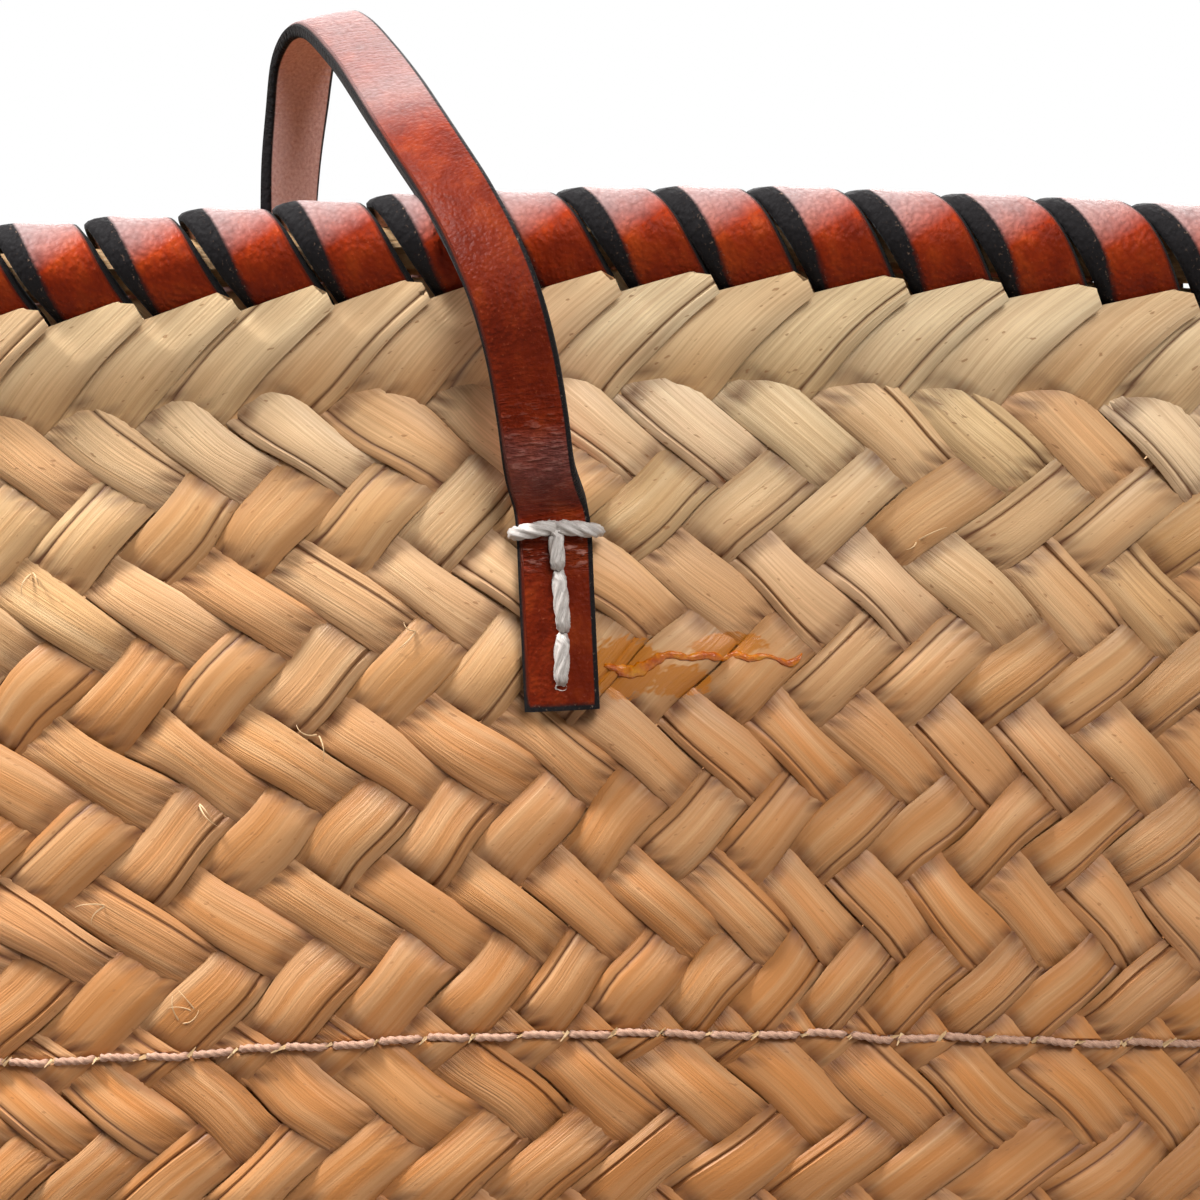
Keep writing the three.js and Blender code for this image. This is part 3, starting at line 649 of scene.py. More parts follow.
def weave_band(name, random_seed, count, station_at, low, high, row_start, phase, material,
               at_rim=False):
    """One plaited band: two families of strands that cross in a twill. The rows run round
    the bag. Row places are counted in crossings from row_start, a length on the section.
    At the rim each family is a piece, because the rising strands end in cut tops."""
    random = np.random.default_rng(random_seed)
    middle_way = way_round(*station_at((low + high) / 2)[:3])
    families = []
    for family in (1, -1):
        strand = strand_values(random, count)
        q, thick, fold_shade = strand_section(strand)
        row_low = (low - row_start) / ROW_RISE
        row_high = (high - row_start) / ROW_RISE
        edge_rows = np.array([0.0, 0.07, 0.2])
        inner = np.arange(row_low + 0.5, row_high - 0.35, 0.31)
        rows = np.concatenate([row_low + edge_rows, inner, (row_high - edge_rows)[::-1]])
        rows = rows[None, :, None]
        under = np.clip(-family * over_and_under(rows - 0.5), 0, 1)
        across = strand.half_width * (1 + 0.06 * under) * q
        rows = rows + np.zeros_like(across)
        if at_rim and family == 1:
            rows = rim_rows(rows, q, row_start)
            across = strand.half_width * q
        number = np.arange(count)[:, None, None] + strand.shift
        length = row_start + ROW_RISE * rows
        share = phase + (family * rows + 2 * (number + across)) / (2 * count)
        loose = np.clip(np.minimum(length - low, high - length) / 8, 0, 1)
        slide = lean_of_hand(share) * np.minimum(length - (low + high) / 2 - 20, 10)
        slide = slide + wobble(random_seed + 1, share, length, 0.5) * loose
        rise = wobble(random_seed + 2, share, length, 0.36) * loose
        share = share + slide / middle_way
        length = length + rise
        wave = family * over_and_under(rows + family * across - 0.5)
        near_edge = np.clip(np.minimum(length - low, high - length) / 1.5, 0, 1)
        rounding = 0.3 + 0.7 * np.sqrt(near_edge * (2 - near_edge))
        sway = 1 + 0.22 * np.sin(rows * 1.7 + strand.sway)
        fall = STRAND_CROWN * (0.4 * q ** 2 + 0.6 * q ** 4)
        tilt = strand.tilt + 0.1 * np.sin(rows * 0.9 + 2 * strand.sway)
        height = wave * (STRAND_RISE * sway - fall) * rounding
        height = height + tilt * q * np.maximum(wave * wave, 0.1) * rounding + strand.lift
        lifted = np.zeros_like(height)
        if at_rim and family == 1:
            share, height, lifted = rim_lift(share, length, height, q, number, count)
        points = surface(station_at(length), share, height + thick)
        points[..., 2] = np.maximum(points[..., 2], PRESSED_FLAT)
        # Strands are painted darker and browner towards the bottom of the bag, more in some
        # places round it than in others.
        browned = BROWNING + BROWNING_SWING * np.sin(4 * math.pi * share + 0.2)
        browned = browned + 0.09 * np.clip((195 - points[..., 2]) / 25, 0, 1)
        depth = (np.clip((268 - points[..., 2]) / 60, 0, 1) * browned)[..., None]
        tone = strand.tone * (1 - depth) + np.array(colour("#AC6B32")) * depth
        # Painted light: the led top ends of the rising strands are painted paler.
        pale = lifted[..., None] * TOP_ROW_PAINTED_LIGHT
        tone = tone * FAMILY_PAINTED_LIGHT[family] * (1 - pale) + np.array(colour("#FFEAC6")) * pale
        # Painted shade where a strand dives under another, along its fold line, and along the
        # edge of a top end that its neighbour overlaps.
        dive_shade = np.clip(1 - np.abs(wave), 0, 1) ** 1.5 * (1 - lifted)
        overlap_shade = 0.75 * lifted * np.clip((-q - 0.7) / 0.3, 0, 1)
        dive_shade = np.maximum(np.maximum(dive_shade, fold_shade), overlap_shade)
        # Painted highlight on the crowns of the floats and on the led top ends of the rising
        # strands.
        crown_highlight = np.maximum(np.clip(wave, 0, 1), lifted) * (1 - q ** 2)
        families.append((points, {
            "fibre": stacked(q * 4, rows * ROW_RISE * 1.5, strand.seed),
            "tone": tone,
            "dive_shade": dive_shade[..., None],
            "crown_highlight": crown_highlight[..., None],
            "stain": glue_share(share * middle_way, points[..., 2])[..., None],
        }))
    if at_rim:
        return [make_piece(f"{name}_{label}", points, material, kept)
                for label, (points, kept) in zip(("rising", "falling"), families)]
    (points, kept), (more_points, more_kept) = families
    merged = {key: np.concatenate([kept[key], more_kept[key]]) for key in kept}
    return [make_piece(name, np.concatenate([points, more_points]), material, merged)]


# The top ends of the rising strands are cut in steps and cover the feet of the lace.
# Places are measured from the top corner of a strand: along the rim, then up.

CORNER_HEIGHT = 274.8
STEP_SLOPE = 3.33 / 12.5
CUT_SLOPE = -3.33 / 1.87
STRAND_SLOPE = 0.80
TOP_BAND_HALF = 7.2
TOP_MIDDLE = -5.3
TOP_DROP = 3.33
TOP_START_HEIGHT = 258.0
TOP_RINGS = 9
LEAD_START_HEIGHT = 250.0
LIFT_START_HEIGHT = 258.8
TOP_LIFT = 4.35


def rim_rows(rows, q, row_start):
    """Lets each line along a rising strand end at the strand's cut top."""
    passing = TOP_MIDDLE + TOP_BAND_HALF * q
    on_step = (-TOP_DROP - STRAND_SLOPE * passing) / (STEP_SLOPE - STRAND_SLOPE)
    on_cut = (-TOP_DROP - STRAND_SLOPE * passing) / (CUT_SLOPE - STRAND_SLOPE)
    end_height = np.where(on_step < 0, STEP_SLOPE * on_step, CUT_SLOPE * on_cut)
    end_row = (CORNER_HEIGHT + end_height - row_start) / ROW_RISE
    start_row = (TOP_START_HEIGHT - row_start) / ROW_RISE
    below = rows[:, rows[0, :, 0] < start_row, :]
    steps = np.linspace(0, 1, TOP_RINGS)[None, :, None]
    return np.concatenate([below, start_row + (end_row - start_row) * steps], axis=1)


def rim_crowding(share):
    """The lace's turns are a little closer together in some places, as a share of the rim."""
    return -RIM_CROWDING / RIM_WAY * (1 - np.cos(8 * math.pi * (share - 0.0264)))


def rim_lift(share, length, height, q, number, count):
    """Leads the top of each rising strand to its turn of the lace and out over its foot.
    Also gives how far each point has been led."""
    rim_way = way_round(*wall_station(CORNER_HEIGHT)[:3])
    top = CORNER_HEIGHT - TOP_DROP
    ease = eased(np.clip((length - LEAD_START_HEIGHT) / (top - LEAD_START_HEIGHT), 0, 1))
    above = length - top
    corner = (np.round(number) + RIM_STRAND_STEP + RIM_CORNER_PHASE) / count
    passing = TOP_MIDDLE + TOP_BAND_HALF * q + above / STRAND_SLOPE
    target = corner + rim_crowding(corner) + passing / rim_way
    share = share * (1 - ease) + target * ease
    lift = TOP_LIFT + 0.3 * np.maximum(above + 2, 0) + 0.8 * q
    lifted = eased(np.clip((length - LIFT_START_HEIGHT) / (top - 2 - LIFT_START_HEIGHT), 0, 1))
    return share, height * (1 - lifted) + lift * lifted, lifted


LOWER_BAND_LENGTH = (BASE_FLAT_MARGIN + CORNER_RADIUS * math.pi / 2
                     + LOWER_SEAM_HEIGHT - WALL_FOOT_HEIGHT)
upper_pieces = weave_band(
    "upper_plait_strands", 11, LACE_TURNS, wall_station, UPPER_SEAM_HEIGHT + SEAM_HALF_GAP,
    WALL_TOP_HEIGHT, row_start=176.35, phase=0.0029, material=palm_upper,
    at_rim=True)
middle_pieces = weave_band(
    "middle_plait_strands", 23, 79, wall_station, LOWER_SEAM_HEIGHT + SEAM_HALF_GAP,
    UPPER_SEAM_HEIGHT - SEAM_HALF_GAP, row_start=151.5, phase=0.004, material=palm_middle)
lower_pieces = weave_band(
    "lower_plait_strands", 37, 74, foot_station, SEAM_HALF_GAP,
    LOWER_BAND_LENGTH - SEAM_HALF_GAP, row_start=1.0, phase=0.0, material=palm_lower)
for pieces, node in ((upper_pieces, "upper_plait"), (middle_pieces, "middle_plait"),
                     (lower_pieces, "lower_plait")):
    for piece in pieces:
        set_on_bag(piece, node)

# The base: a straight plait along the bag, cut to the oval of the floor seam

BASE_COLUMN = 6.05
BASE_ROW_REACH = 10
BASE_RINGS = 58
# A strand's ends are found to a fortieth of a row, and shorter ones are left out
BASE_STEPS = 40
SHORTEST_STEPS = 70


def inside_oval(x, y, plan):
    end_centre, long_radius, long_centre, turn = plan_values(*plan)
    x = np.abs(x)
    y = np.abs(y)
    at_end = (x > end_centre) & (y < (x - end_centre) * math.tan(turn))
    in_end = (x - end_centre) ** 2 + y ** 2 < plan[2] ** 2
    in_long = x ** 2 + (y + long_centre) ** 2 < long_radius ** 2
    return np.where(at_end, in_end, in_long)


def weave_base():
    random = np.random.default_rng(53)
    inset = CORNER_RADIUS + BASE_FLAT_MARGIN - 2.0
    plan = [value - inset for value in BASE]
    number = np.arange(-16, 17)[:, None, None]
    reach = BASE_ROW_REACH
    fine = np.linspace(-reach, reach, 2 * reach * BASE_STEPS + 1)[None, :, None]
    families = []
    for family in (1, -1):
        strand = strand_values(random, number.size)
        q, thick, fold_shade = strand_section(strand)
        across = strand.half_width * q
        columns = family * fine + 2 * (number + across)
        inside = inside_oval(BASE_COLUMN * columns, ROW_RISE * fine + 0 * across, plan)
        first = np.argmax(inside, axis=1)
        last = inside.shape[1] - 1 - np.argmax(inside[:, ::-1, :], axis=1)
        whole = (last - first).min(axis=1) > SHORTEST_STEPS
        whole &= inside.any(axis=1).all(axis=1)
        row_low = fine[0, :, 0][first][:, None, :]
        row_high = fine[0, :, 0][last][:, None, :]
        rows = row_low + (row_high - row_low) * np.linspace(0, 1, BASE_RINGS)[None, :, None]
        wave = family * over_and_under(rows + family * across - 0.5)
        ends = np.minimum(rows - row_low, row_high - rows) * 4
        rounding = 0.3 + 0.7 * np.clip(ends, 0, 1)
        height = wave * (STRAND_RISE - STRAND_CROWN * q ** 2) * rounding
        points = stacked(BASE_COLUMN * (family * rows + 2 * (number + across)), ROW_RISE * rows,
                         np.maximum(HALF_PLAIT - height - thick, PRESSED_FLAT))
        # Painted shade where strands dive under others and along fold lines.
        dive_shade = np.maximum(np.clip(1 - np.abs(wave), 0, 1) ** 1.5, fold_shade)
        kept = (points, stacked(q * 4, rows * ROW_RISE * 1.5, strand.seed),
                np.broadcast_to(strand.tone, (*rows.shape, 4)), dive_shade[..., None])
        families.append([values[whole] for values in kept])
    points, fibre, tone, dive_shade = (np.concatenate(both) for both in zip(*families))
    return make_piece("base_plait_strands", points, palm_base,
                      {"fibre": fibre, "tone": tone, "dive_shade": dive_shade})


set_on_bag(weave_base(), "base_plait")

# Rim: a bundle of palm ribs, and the leather lace wound over it

CORE_RINGS = 900


def rim_station(up):
    """The rim's section follows the plan at the core, and lower down the wall's plan."""
    station = wall_station(CORE_HEIGHT + np.minimum(0, up + 5.7))
    return (*station[:3], CORE_HEIGHT + up, *station[4:])


def core_bundle():
    share = (np.arange(CORE_RINGS) / CORE_RINGS)[:, None]
    turn = ring_angles(20)
    ribs = 0.22 * np.cos(7 * turn + 2 * math.pi * 30 * share)
    radius = CORE_RADIUS - 0.3 + ribs + 0.12 * wobble(61, share, turn * 20)
    points = surface(wall_station(CORE_HEIGHT), share, radius * np.cos(turn))
    points[..., 2] += radius * np.sin(turn)
    fibre = stacked(turn * 3.4, share * RIM_WAY, 5.0)
    return make_piece("rim_core_bundle", points[None], palm_bundle,
                      plain_leaf(fibre, "#C9A878"), ring_closed=True)


set_on_bag(core_bundle(), "rim_core")

# A turn of the lace: distance out, height above the core, share of the turn's advance
LACE_STOPS = np.array([
    (0.0, 5.8, 0.0), (3.2, 5.0, 0.16), (5.2, 2.6, 0.33), (5.6, -0.2, 0.48),
    (4.6, -3.0, 0.61), (2.8, -5.6, 0.73), (1.0, -7.9, 0.84), (-0.3, -9.3, 0.905),
    (-2.6, -8.3, 0.93), (-4.9, -5.0, 0.95), (-5.8, -0.8, 0.965), (-4.6, 3.4, 0.98),
])
LACE_STEPS = 3
LACE_ROLL = math.radians(6)


def lace_section():
    """The lace's section: across place, height, dye, how wide the black spreads at the top of
    a turn, and flesh side. A thick rounded shoulder runs along the edge that shows."""
    half = LACE_WIDTH / 2
    deep = LACE_THICKNESS / 2
    return np.array([
        (-half + 0.8, deep, 0, 0, 0),
        (-half * 0.45, deep + 0.14, 0, 0, 0),
        (0.2, deep + 0.2, 0, 0, 0),
        (half - 4.2, deep + 0.16, 0, 0, 0),
        (half - 3.2, deep + 0.04, 0, 0.1, 0),
        (half - 2.2, deep - 0.16, 0, 0.9, 0),
        (half - 1.2, deep - 0.5, 0.6, 0.4, 0),
        (half - 0.4, deep - 1.0, 1, 0, 0),
        (half, -deep + 0.7, 1, 0, 0),
        (half - 0.1, -deep + 0.25, 1, 0, 0),
        (half - 0.6, -deep, 0.9, 0, 0.5),
        (half - 1.8, -deep, 0.2, 0, 1),
        (0, -deep, 0, 0, 1),
        (-half + 0.9, -deep, 0, 0, 0.5),
        (-half + 0.2, -deep + 0.25, 1, 0, 0),
        (-half, 0, 1, 0, 0),
        (-half + 0.2, deep - 0.25, 1, 0, 0),
    ]).T


def wound_lace():
    """One closed strip: every turn passes through the stops, and they advance with it."""
    stops = len(LACE_STOPS)
    place = np.arange(LACE_TURNS * stops * LACE_STEPS) / LACE_STEPS
    turn = np.floor(place / stops)
    inside = place - turn * stops
    before = np.floor(inside).astype(int)
    t = (inside - before)[:, None]
    p0, p1, p2, p3 = (LACE_STOPS[i % stops] + (i // stops)[:, None] * np.array([0, 0, 1])
                      for i in (before - 1, before, before + 1, before + 2))
    value = 0.5 * (2 * p1 + (p2 - p0) * t + (2 * p0 - 5 * p1 + 4 * p2 - p3) * t ** 2
                   + (3 * p1 - p0 - 3 * p2 + p3) * t ** 3)
    out, up, advance = value.T
    random = np.random.default_rng(71)
    slack = random.normal(0, 0.14, LACE_TURNS)[turn.astype(int)]
    uneven = random.normal(0, 0.03, LACE_TURNS)[turn.astype(int)]
    uneven = uneven * np.sin(math.pi * (inside / stops))
    share = (turn + advance + LACE_PHASE + uneven) / LACE_TURNS
    share = share + rim_crowding((turn + LACE_PHASE) / LACE_TURNS)
    path = surface(rim_station(up), share, out)
    path[:, 2] += slack * np.clip(up, 0, 1)
    _, _, angle = plan_point(*wall_station(CORE_HEIGHT)[:3], share)
    along = heading_round(path)
    outward = unit(np.cross(along, stacked(-np.sin(angle), np.cos(angle), 0.0)))
    square = unit(np.cross(along, outward))
    side, lift, dye, top_dye, flesh = lace_section()
    rolled = math.cos(LACE_ROLL) * side - math.sin(LACE_ROLL) * lift
    raised = math.sin(LACE_ROLL) * side + math.cos(LACE_ROLL) * lift
    at_top = np.clip((up + 9) / 13, 0, 1)[:, None]
    # Painted shade darkens the lace towards its foot, and a painted sheen makes the top of each
    # turn paler.
    lit_share = 0.42 + 0.58 * np.clip((up + 5.5) / 8.5, 0, 1) + 0.82 * np.clip(up / 5.2, 0, 1)
    hide = stacked(run_length(stacked(side, lift)), run_length(path)[:, None], 0.0)
    finish = stacked(np.minimum(dye + top_dye * at_top, 1), flesh, 0.05, lit_share[:, None])
    return make_piece("rim_lace", swept(path, square, rolled, outward, raised)[None],
                      lace_leather, {"hide": hide, "finish": finish},
                      ring_closed=True, sharp=60)


set_on_bag(wound_lace(), "rim_lacing")

# Straps

STRAP_STEP = 1.1
DYE_WIDTH = 0.85
EDGE_ROUNDING = 0.42
STRAP_CROWN = 0.12
TAB_SLANT = 0.036
RISER_START = 243.3
LEG_DEPTH = 82


def strap_section():
    """A strap's section: across place, height, dye at the cut edges, and flesh side."""
    half = STRAP_WIDTH / 2
    deep = STRAP_THICKNESS / 2
    inner = half - DYE_WIDTH
    soft = EDGE_ROUNDING
    return np.array([
        (-inner, deep, 0, 0),
        (-half * 0.45, deep + STRAP_CROWN, 0, 0),
        (0, deep + STRAP_CROWN * 1.3, 0, 0),
        (half * 0.45, deep + STRAP_CROWN, 0, 0),
        (inner, deep, 0, 0),
        (half - soft, deep - 0.2 * soft, 0.9, 0),
        (half - 0.1 * soft, deep - soft, 1, 0),
        (half, 0, 1, 0),
        (half - 0.1 * soft, -deep + soft, 1, 0),
        (half - soft, -deep + 0.2 * soft, 0.9, 0.5),
        (inner, -deep, 0, 1),
        (0, -deep, 0, 1),
        (-inner, -deep, 0, 1),
        (-half + soft, -deep + 0.2 * soft, 0.9, 0.5),
        (-half + 0.05, -deep + soft, 1, 0),
        (-half + 0.05, deep - soft, 1, 0),
    ]).T


def tab_point(across, height, offset):
    point, _, tangent = on_front(STRAP_X, height, offset)
    return point + tangent * across


def level_direction(degrees):
    angle = math.radians(degrees)
    return np.array([math.cos(angle), math.sin(angle), 0.0])


def over_rim(aside, inward, up, degrees, climb=0.0):
    """A stop by its distance towards the bag's middle, inward from the rim and above it. Its
    width direction climbs a little to the right."""
    x = STRAP_X - aside
    y = on_front(x, CORE_HEIGHT, 0)[0][1] + inward
    return np.array([x, y, CORE_HEIGHT + up]), level_direction(degrees) + (0, 0, climb)


def strap_samples(stops):
    """Samples a strap's path and the direction across it."""
    path, places = curve_through([point for point, _ in stops], STRAP_STEP)
    directions = np.array([direction for _, direction in stops])
    before = np.minimum(places.astype(int), len(stops) - 2)
    part = (places - before)[:, None]
    across = directions[before] * (1 - part) + directions[before + 1] * part
    window = np.hanning(13)
    padded = np.pad(across, ((6, 6), (0, 0)), mode="edge")
    across = [np.convolve(column, window / window.sum(), "valid") for column in padded.T]
    return path, np.stack(across, axis=-1), places


def front_creases(height):
    """Wrinkles at the stitching and at the fold, and few elsewhere."""
    stitched = 0.55 * bell(height, 250, 8) + bell(height, 237.6, 2.2)
    return 0.04 + stitched + 0.25 * bell(height, 312, 9)


def back_creases(height):
    return 0.04 + 0.6 * bell(height, 245, 5)


def strap_darkening_and_sheen(height):
    """Below 1 where the strap is painted darker: on the tab, about 267 mm up, and as painted
    shade about 283 mm up. Above 1 where it gets a painted pale sheen and painted highlights.
    """
    dark = 0.26 * np.clip((243 - height) / 4, 0, 1)
    dark = dark + 0.42 * bell(height, 267, 10.5) + 0.26 * bell(height, 283, 9)
    pale = 0.5 * np.clip((height - 289) / 24, 0, 1)
    pale = pale + 0.32 * bell(height, 300.5, 3.5) + 0.2 * bell(height, 250, 5)
    return 1 - dark + pale


def sewn_strap(wall, stops, cut_place, creases):
    """A whole strap from one tab to the other, in three pieces that part at cut_place, which
    is counted in stops. The stops lead from the front's right tab to the strap's middle."""
    facing = 1 if wall == "front" else -1
    path, across, places = strap_samples(stops)
    cut = int(np.searchsorted(places, cut_place))
    path = path * (1, facing, 1)
    across = across * (facing, 1, facing)
    path = np.concatenate([path, path[-2::-1] * (-1, 1, 1)])
    across = np.concatenate([across, across[-2::-1] * (-1, 1, 1)])
    along = unit(np.gradient(path, axis=0))
    across = unit(across - along * np.sum(across * along, axis=-1, keepdims=True))
    height = path[:, 2]
    side, lift, dye, flesh = strap_section()
    drawn = np.clip((height - 240) / 8, 0, 1) * np.clip((np.abs(path[:, 0]) - 70) / 15, 0, 1)
    narrowed = side * (1.01 - 0.07 * drawn)[:, None]
    points = swept(path, across, narrowed, np.cross(across, along), lift)
    distance = run_length(path)[:, None]
    to_end = np.minimum(distance, distance[-1] - distance)
    hide = stacked(run_length(stacked(side, lift)), distance, 30.0)
    finish = stacked(np.maximum(dye, 1 - to_end / 1.6), flesh, creases(height)[:, None],
                     strap_darkening_and_sheen(height)[:, None])
    count = len(path)
    spans = {"right_end": (0, cut + 1), "middle": (cut, count - cut),
             "left_end": (count - cut - 1, count)}
    return {part: make_piece(f"{wall}_strap_{part}", points[None, start:end], strap_leather,
                             {"hide": hide[start:end],
                                               "finish": finish[start:end]}, sharp=60)
            for part, (start, end) in spans.items()}


_, TAB_NORMAL, TAB_TANGENT = on_front(STRAP_X, STITCH_HEIGHT, 0)
tab_stops = [(tab_point(-TAB_SLANT * (height - TAB_BOTTOM_HEIGHT), height, STRAP_OFFSET),
              TAB_TANGENT)
             for height in np.linspace(TAB_BOTTOM_HEIGHT, 239.5, 5)]
FRONT_CUT_PLACE = 12.0
# The front strap up to its top: x, y, height, and degrees that its width is turned
LEANING_STOPS = [
    (94.2, -99.0, 248.2, 10), (93.9, -102.2, 255.0, 8), (92.9, -104.5, 263.0, 6),
    (91.1, -105.2, 270.0, 4), (88.0, -103.4, 276.7, 2), (83.3, -98.6, 284.0, 0),
    (77.7, -91.8, 291.0, -1), (72.7, -84.6, 296.9, -1), (67.3, -75.6, 303.0, 1),
    (61.5, -65.2, 308.9, 5),
]
# Then over the fold and down inside: aside, inward, above the rim, degrees and climb
FOLDED_STOPS = [
    (40.4, 43.0, 35.8, 16, 0.14), (43.6, 48.2, 37.3, 26, 0.27), (46.2, 52.2, 36.9, 32, 0.32),
    (49.4, 58.0, 33.6, 38, 0.16), (51.4, 61.9, 27, 46), (52.8, 63.4, 18, 52),
    (53.6, 64.4, 3, 62), (53.6, 64.4, -15, 80),
]
front_stops = [
    *tab_stops,
    (tab_point(-1.25, RISER_START, STRAP_OFFSET + 0.4), level_direction(10.5)),
    *((np.array([x, y, z]), level_direction(degrees)) for x, y, z, degrees in LEANING_STOPS),
    *(over_rim(*stop) for stop in FOLDED_STOPS),
]
# Inside the bag the two legs join in a wide bend.
leg_x, leg_y, _ = front_stops[-1][0]
bend_top = CORE_HEIGHT - LEG_DEPTH + leg_x
for angle in np.linspace(0, math.pi / 2, 9)[1:]:
    front_stops.append((np.array([leg_x * math.cos(angle), leg_y,
                                  bend_top - leg_x * math.sin(angle)]), level_direction(90)))

front_pieces = sewn_strap("front", front_stops, FRONT_CUT_PLACE, front_creases)
for side, sign in (("right", 1), ("left", -1)):
    piece = front_pieces[f"{side}_end"]
    x = sign * STRAP_X * MM
    y = tab_point(0, STITCH_HEIGHT, STRAP_OFFSET)[1] * MM
    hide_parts(f"front_{side}_strap_tab", f"front_{side}_riser")
    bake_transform(piece)
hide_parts("front_grip")
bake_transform(front_pieces["middle"])

# Back strap: sewn on like the front one, it folds over its stitching and hangs outside

BACK_START_HEIGHT = 242.85
BACK_RISER_LENGTH = 62
BACK_BOTTOM_HEIGHT = 55
BACK_BEND_RISE = 96
FOLD_RADIUS = HINGE_OFFSET - STRAP_OFFSET
back_top = tab_point(0, TAB_TOP_HEIGHT, 2 * HINGE_OFFSET - STRAP_OFFSET)
back_bottom = on_front(0, BACK_BOTTOM_HEIGHT, HALF_PLAIT + STRAP_WIDTH / 2 + 2)[0]


def back_point(x, height):
    part = (height - BACK_START_HEIGHT) / (BACK_BOTTOM_HEIGHT - BACK_START_HEIGHT)
    return np.array([x, back_top[1] + (back_bottom[1] - back_top[1]) * part, height])


back_stops = [
    *tab_stops,
    *((tab_point(0, HINGE_HEIGHT + FOLD_RADIUS * math.sin(angle),
                 HINGE_OFFSET - FOLD_RADIUS * math.cos(angle)), TAB_TANGENT)
      for angle in np.linspace(0, math.pi, 7)),
    (back_point(back_top[0], BACK_START_HEIGHT - 8), TAB_TANGENT),
]
back_cut_place = len(back_stops) - 0.1
for aside, below, degrees in (
        (0, BACK_RISER_LENGTH / 3, 14), (0.6, BACK_RISER_LENGTH * 2 / 3, 24),
        (1.4, BACK_RISER_LENGTH, 36), (2.6, BACK_RISER_LENGTH + 14, 58)):
    back_stops.append((back_point(back_top[0] - aside, BACK_START_HEIGHT - below),
                       level_direction(degrees)))
for angle in np.linspace(0, math.pi / 2, 7):
    bend_height = BACK_BOTTOM_HEIGHT + BACK_BEND_RISE * (1 - math.sin(angle))
    back_stops.append((back_point((back_top[0] - 3.6) * math.cos(angle), bend_height),
                       level_direction(74 + 16 * min(1, angle * 2))))

back_pieces = sewn_strap("back", back_stops, back_cut_place, back_creases)
for side, sign in (("right", 1), ("left", -1)):
    piece = back_pieces[f"{side}_end"]
    place = tab_point(0, STITCH_HEIGHT, 0) * (sign, -1, 1)
    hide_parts(f"back_{side}_strap_tab", f"back_{side}_riser")
    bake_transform(piece)
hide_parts("back_grip")
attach(back_pieces["middle"], "back_handle")

# Thread and twine

STITCH_SHIFT = -0.55
THREAD_TWIST = 2 * math.pi * 0.085
TORN_RADIUS = 0.17
TWINE_STITCH = 6.4
TWINE_RADIUS = 0.47
TWINE_TWIST = 0.26
TWINE_RINGS = 26
SEAM_OUT = 1.3


def plied_run(path, radius):
    """A twisted thread of five plies along a path, drawn thinner at its ends."""
    along = unit(np.gradient(path, axis=0))
    side = unit(np.cross(along, (0.37, 0.21, 0.9)))
    distance = run_length(path)[:, None]
    turn = ring_angles(30)
    twisted = turn - THREAD_TWIST * distance
    full = 0.68 + 0.32 * np.sin(math.pi * distance / distance[-1]) ** 0.6
    reach = radius * (1 + 0.19 * np.cos(5 * twisted)) * full
    return tube(path, along, side, reach, turn), stacked(twisted * radius, distance, 0.0)


def arched_stitch(from_place, to_place, low, high):
    """A stitch from hole to hole: out of one, over, and into the other. Places are across
    and height on the tab, and low and high are offsets from the wall."""
    t = np.linspace(0, 1, 22)
    bow = np.clip(np.sin(math.pi * t) * 2.6, 0, 1) ** 0.8 + 0.12 * np.sin(math.pi * t)
    across = STITCH_SHIFT + from_place[0] + (to_place[0] - from_place[0]) * t
    height = from_place[1] + (to_place[1] - from_place[1]) * t
    offset = low + (high - low) * bow
    return np.array([tab_point(a, h, o) for a, h, o in zip(across, height, offset)])


def tab_stitches(name, mirror):
    """A cross stitch, three running stitches below it, what shows of them inside, and a
    torn ring of leather round the last hole."""
    face = STRAP_OFFSET + STRAP_THICKNESS / 2
    over = face + THREAD_RADIUS * 0.72
    below = face - 1.2
    inside = -HALF_PLAIT - 0.9
    far = STITCH_REACH - 0.6
    top, second, third, last = (STITCH_HEIGHT - drop for drop in HOLE_DROPS)
    runs = [plied_run(arched_stitch(*stitch) * mirror, THREAD_RADIUS * 0.84) for stitch in (
        ((-far, top - 0.9), (0.1, top + 0.1), face - 2.6, over),
        ((0.0, top + 0.1), (far, top - 0.5), below, over),
        ((0.0, top - 0.3), (0.2, second), below, over),
        ((0.3, second - 0.2), (0.9, third), below, over),
        ((0.7, third - 0.4), (0.5, last), below, over),
        ((-far, top - 0.6), (far, top - 0.6), -0.6, inside),
        ((0.1, top), (0.1, second), -0.6, inside),
        ((0.1, second), (0.2, third), -0.6, inside),
        ((0.2, third), (0.1, last), -0.6, inside),
    )]
    torn = [tab_point(STITCH_SHIFT + 0.5 + 0.75 * math.cos(angle),
                      last - 0.5 + 0.45 * math.sin(angle), face + 0.02)
            for angle in np.linspace(0, 2 * math.pi, 22)]
    runs.append(plied_run(np.array(torn) * mirror, TORN_RADIUS))
    points, fibre = (np.array(values) for values in zip(*runs))
    return make_piece(name, points, waxed_thread, {"fibre": fibre}, sharp=80)


for wall, sign_y in (("front", 1), ("back", -1)):
    for side, sign_x in (("right", 1), ("left", -1)):
        stitches = tab_stitches(f"{wall}_{side}_stitches", (sign_x, sign_y, 1))
        set_on_bag(stitches, f"{wall}_{side}_tab_thread")


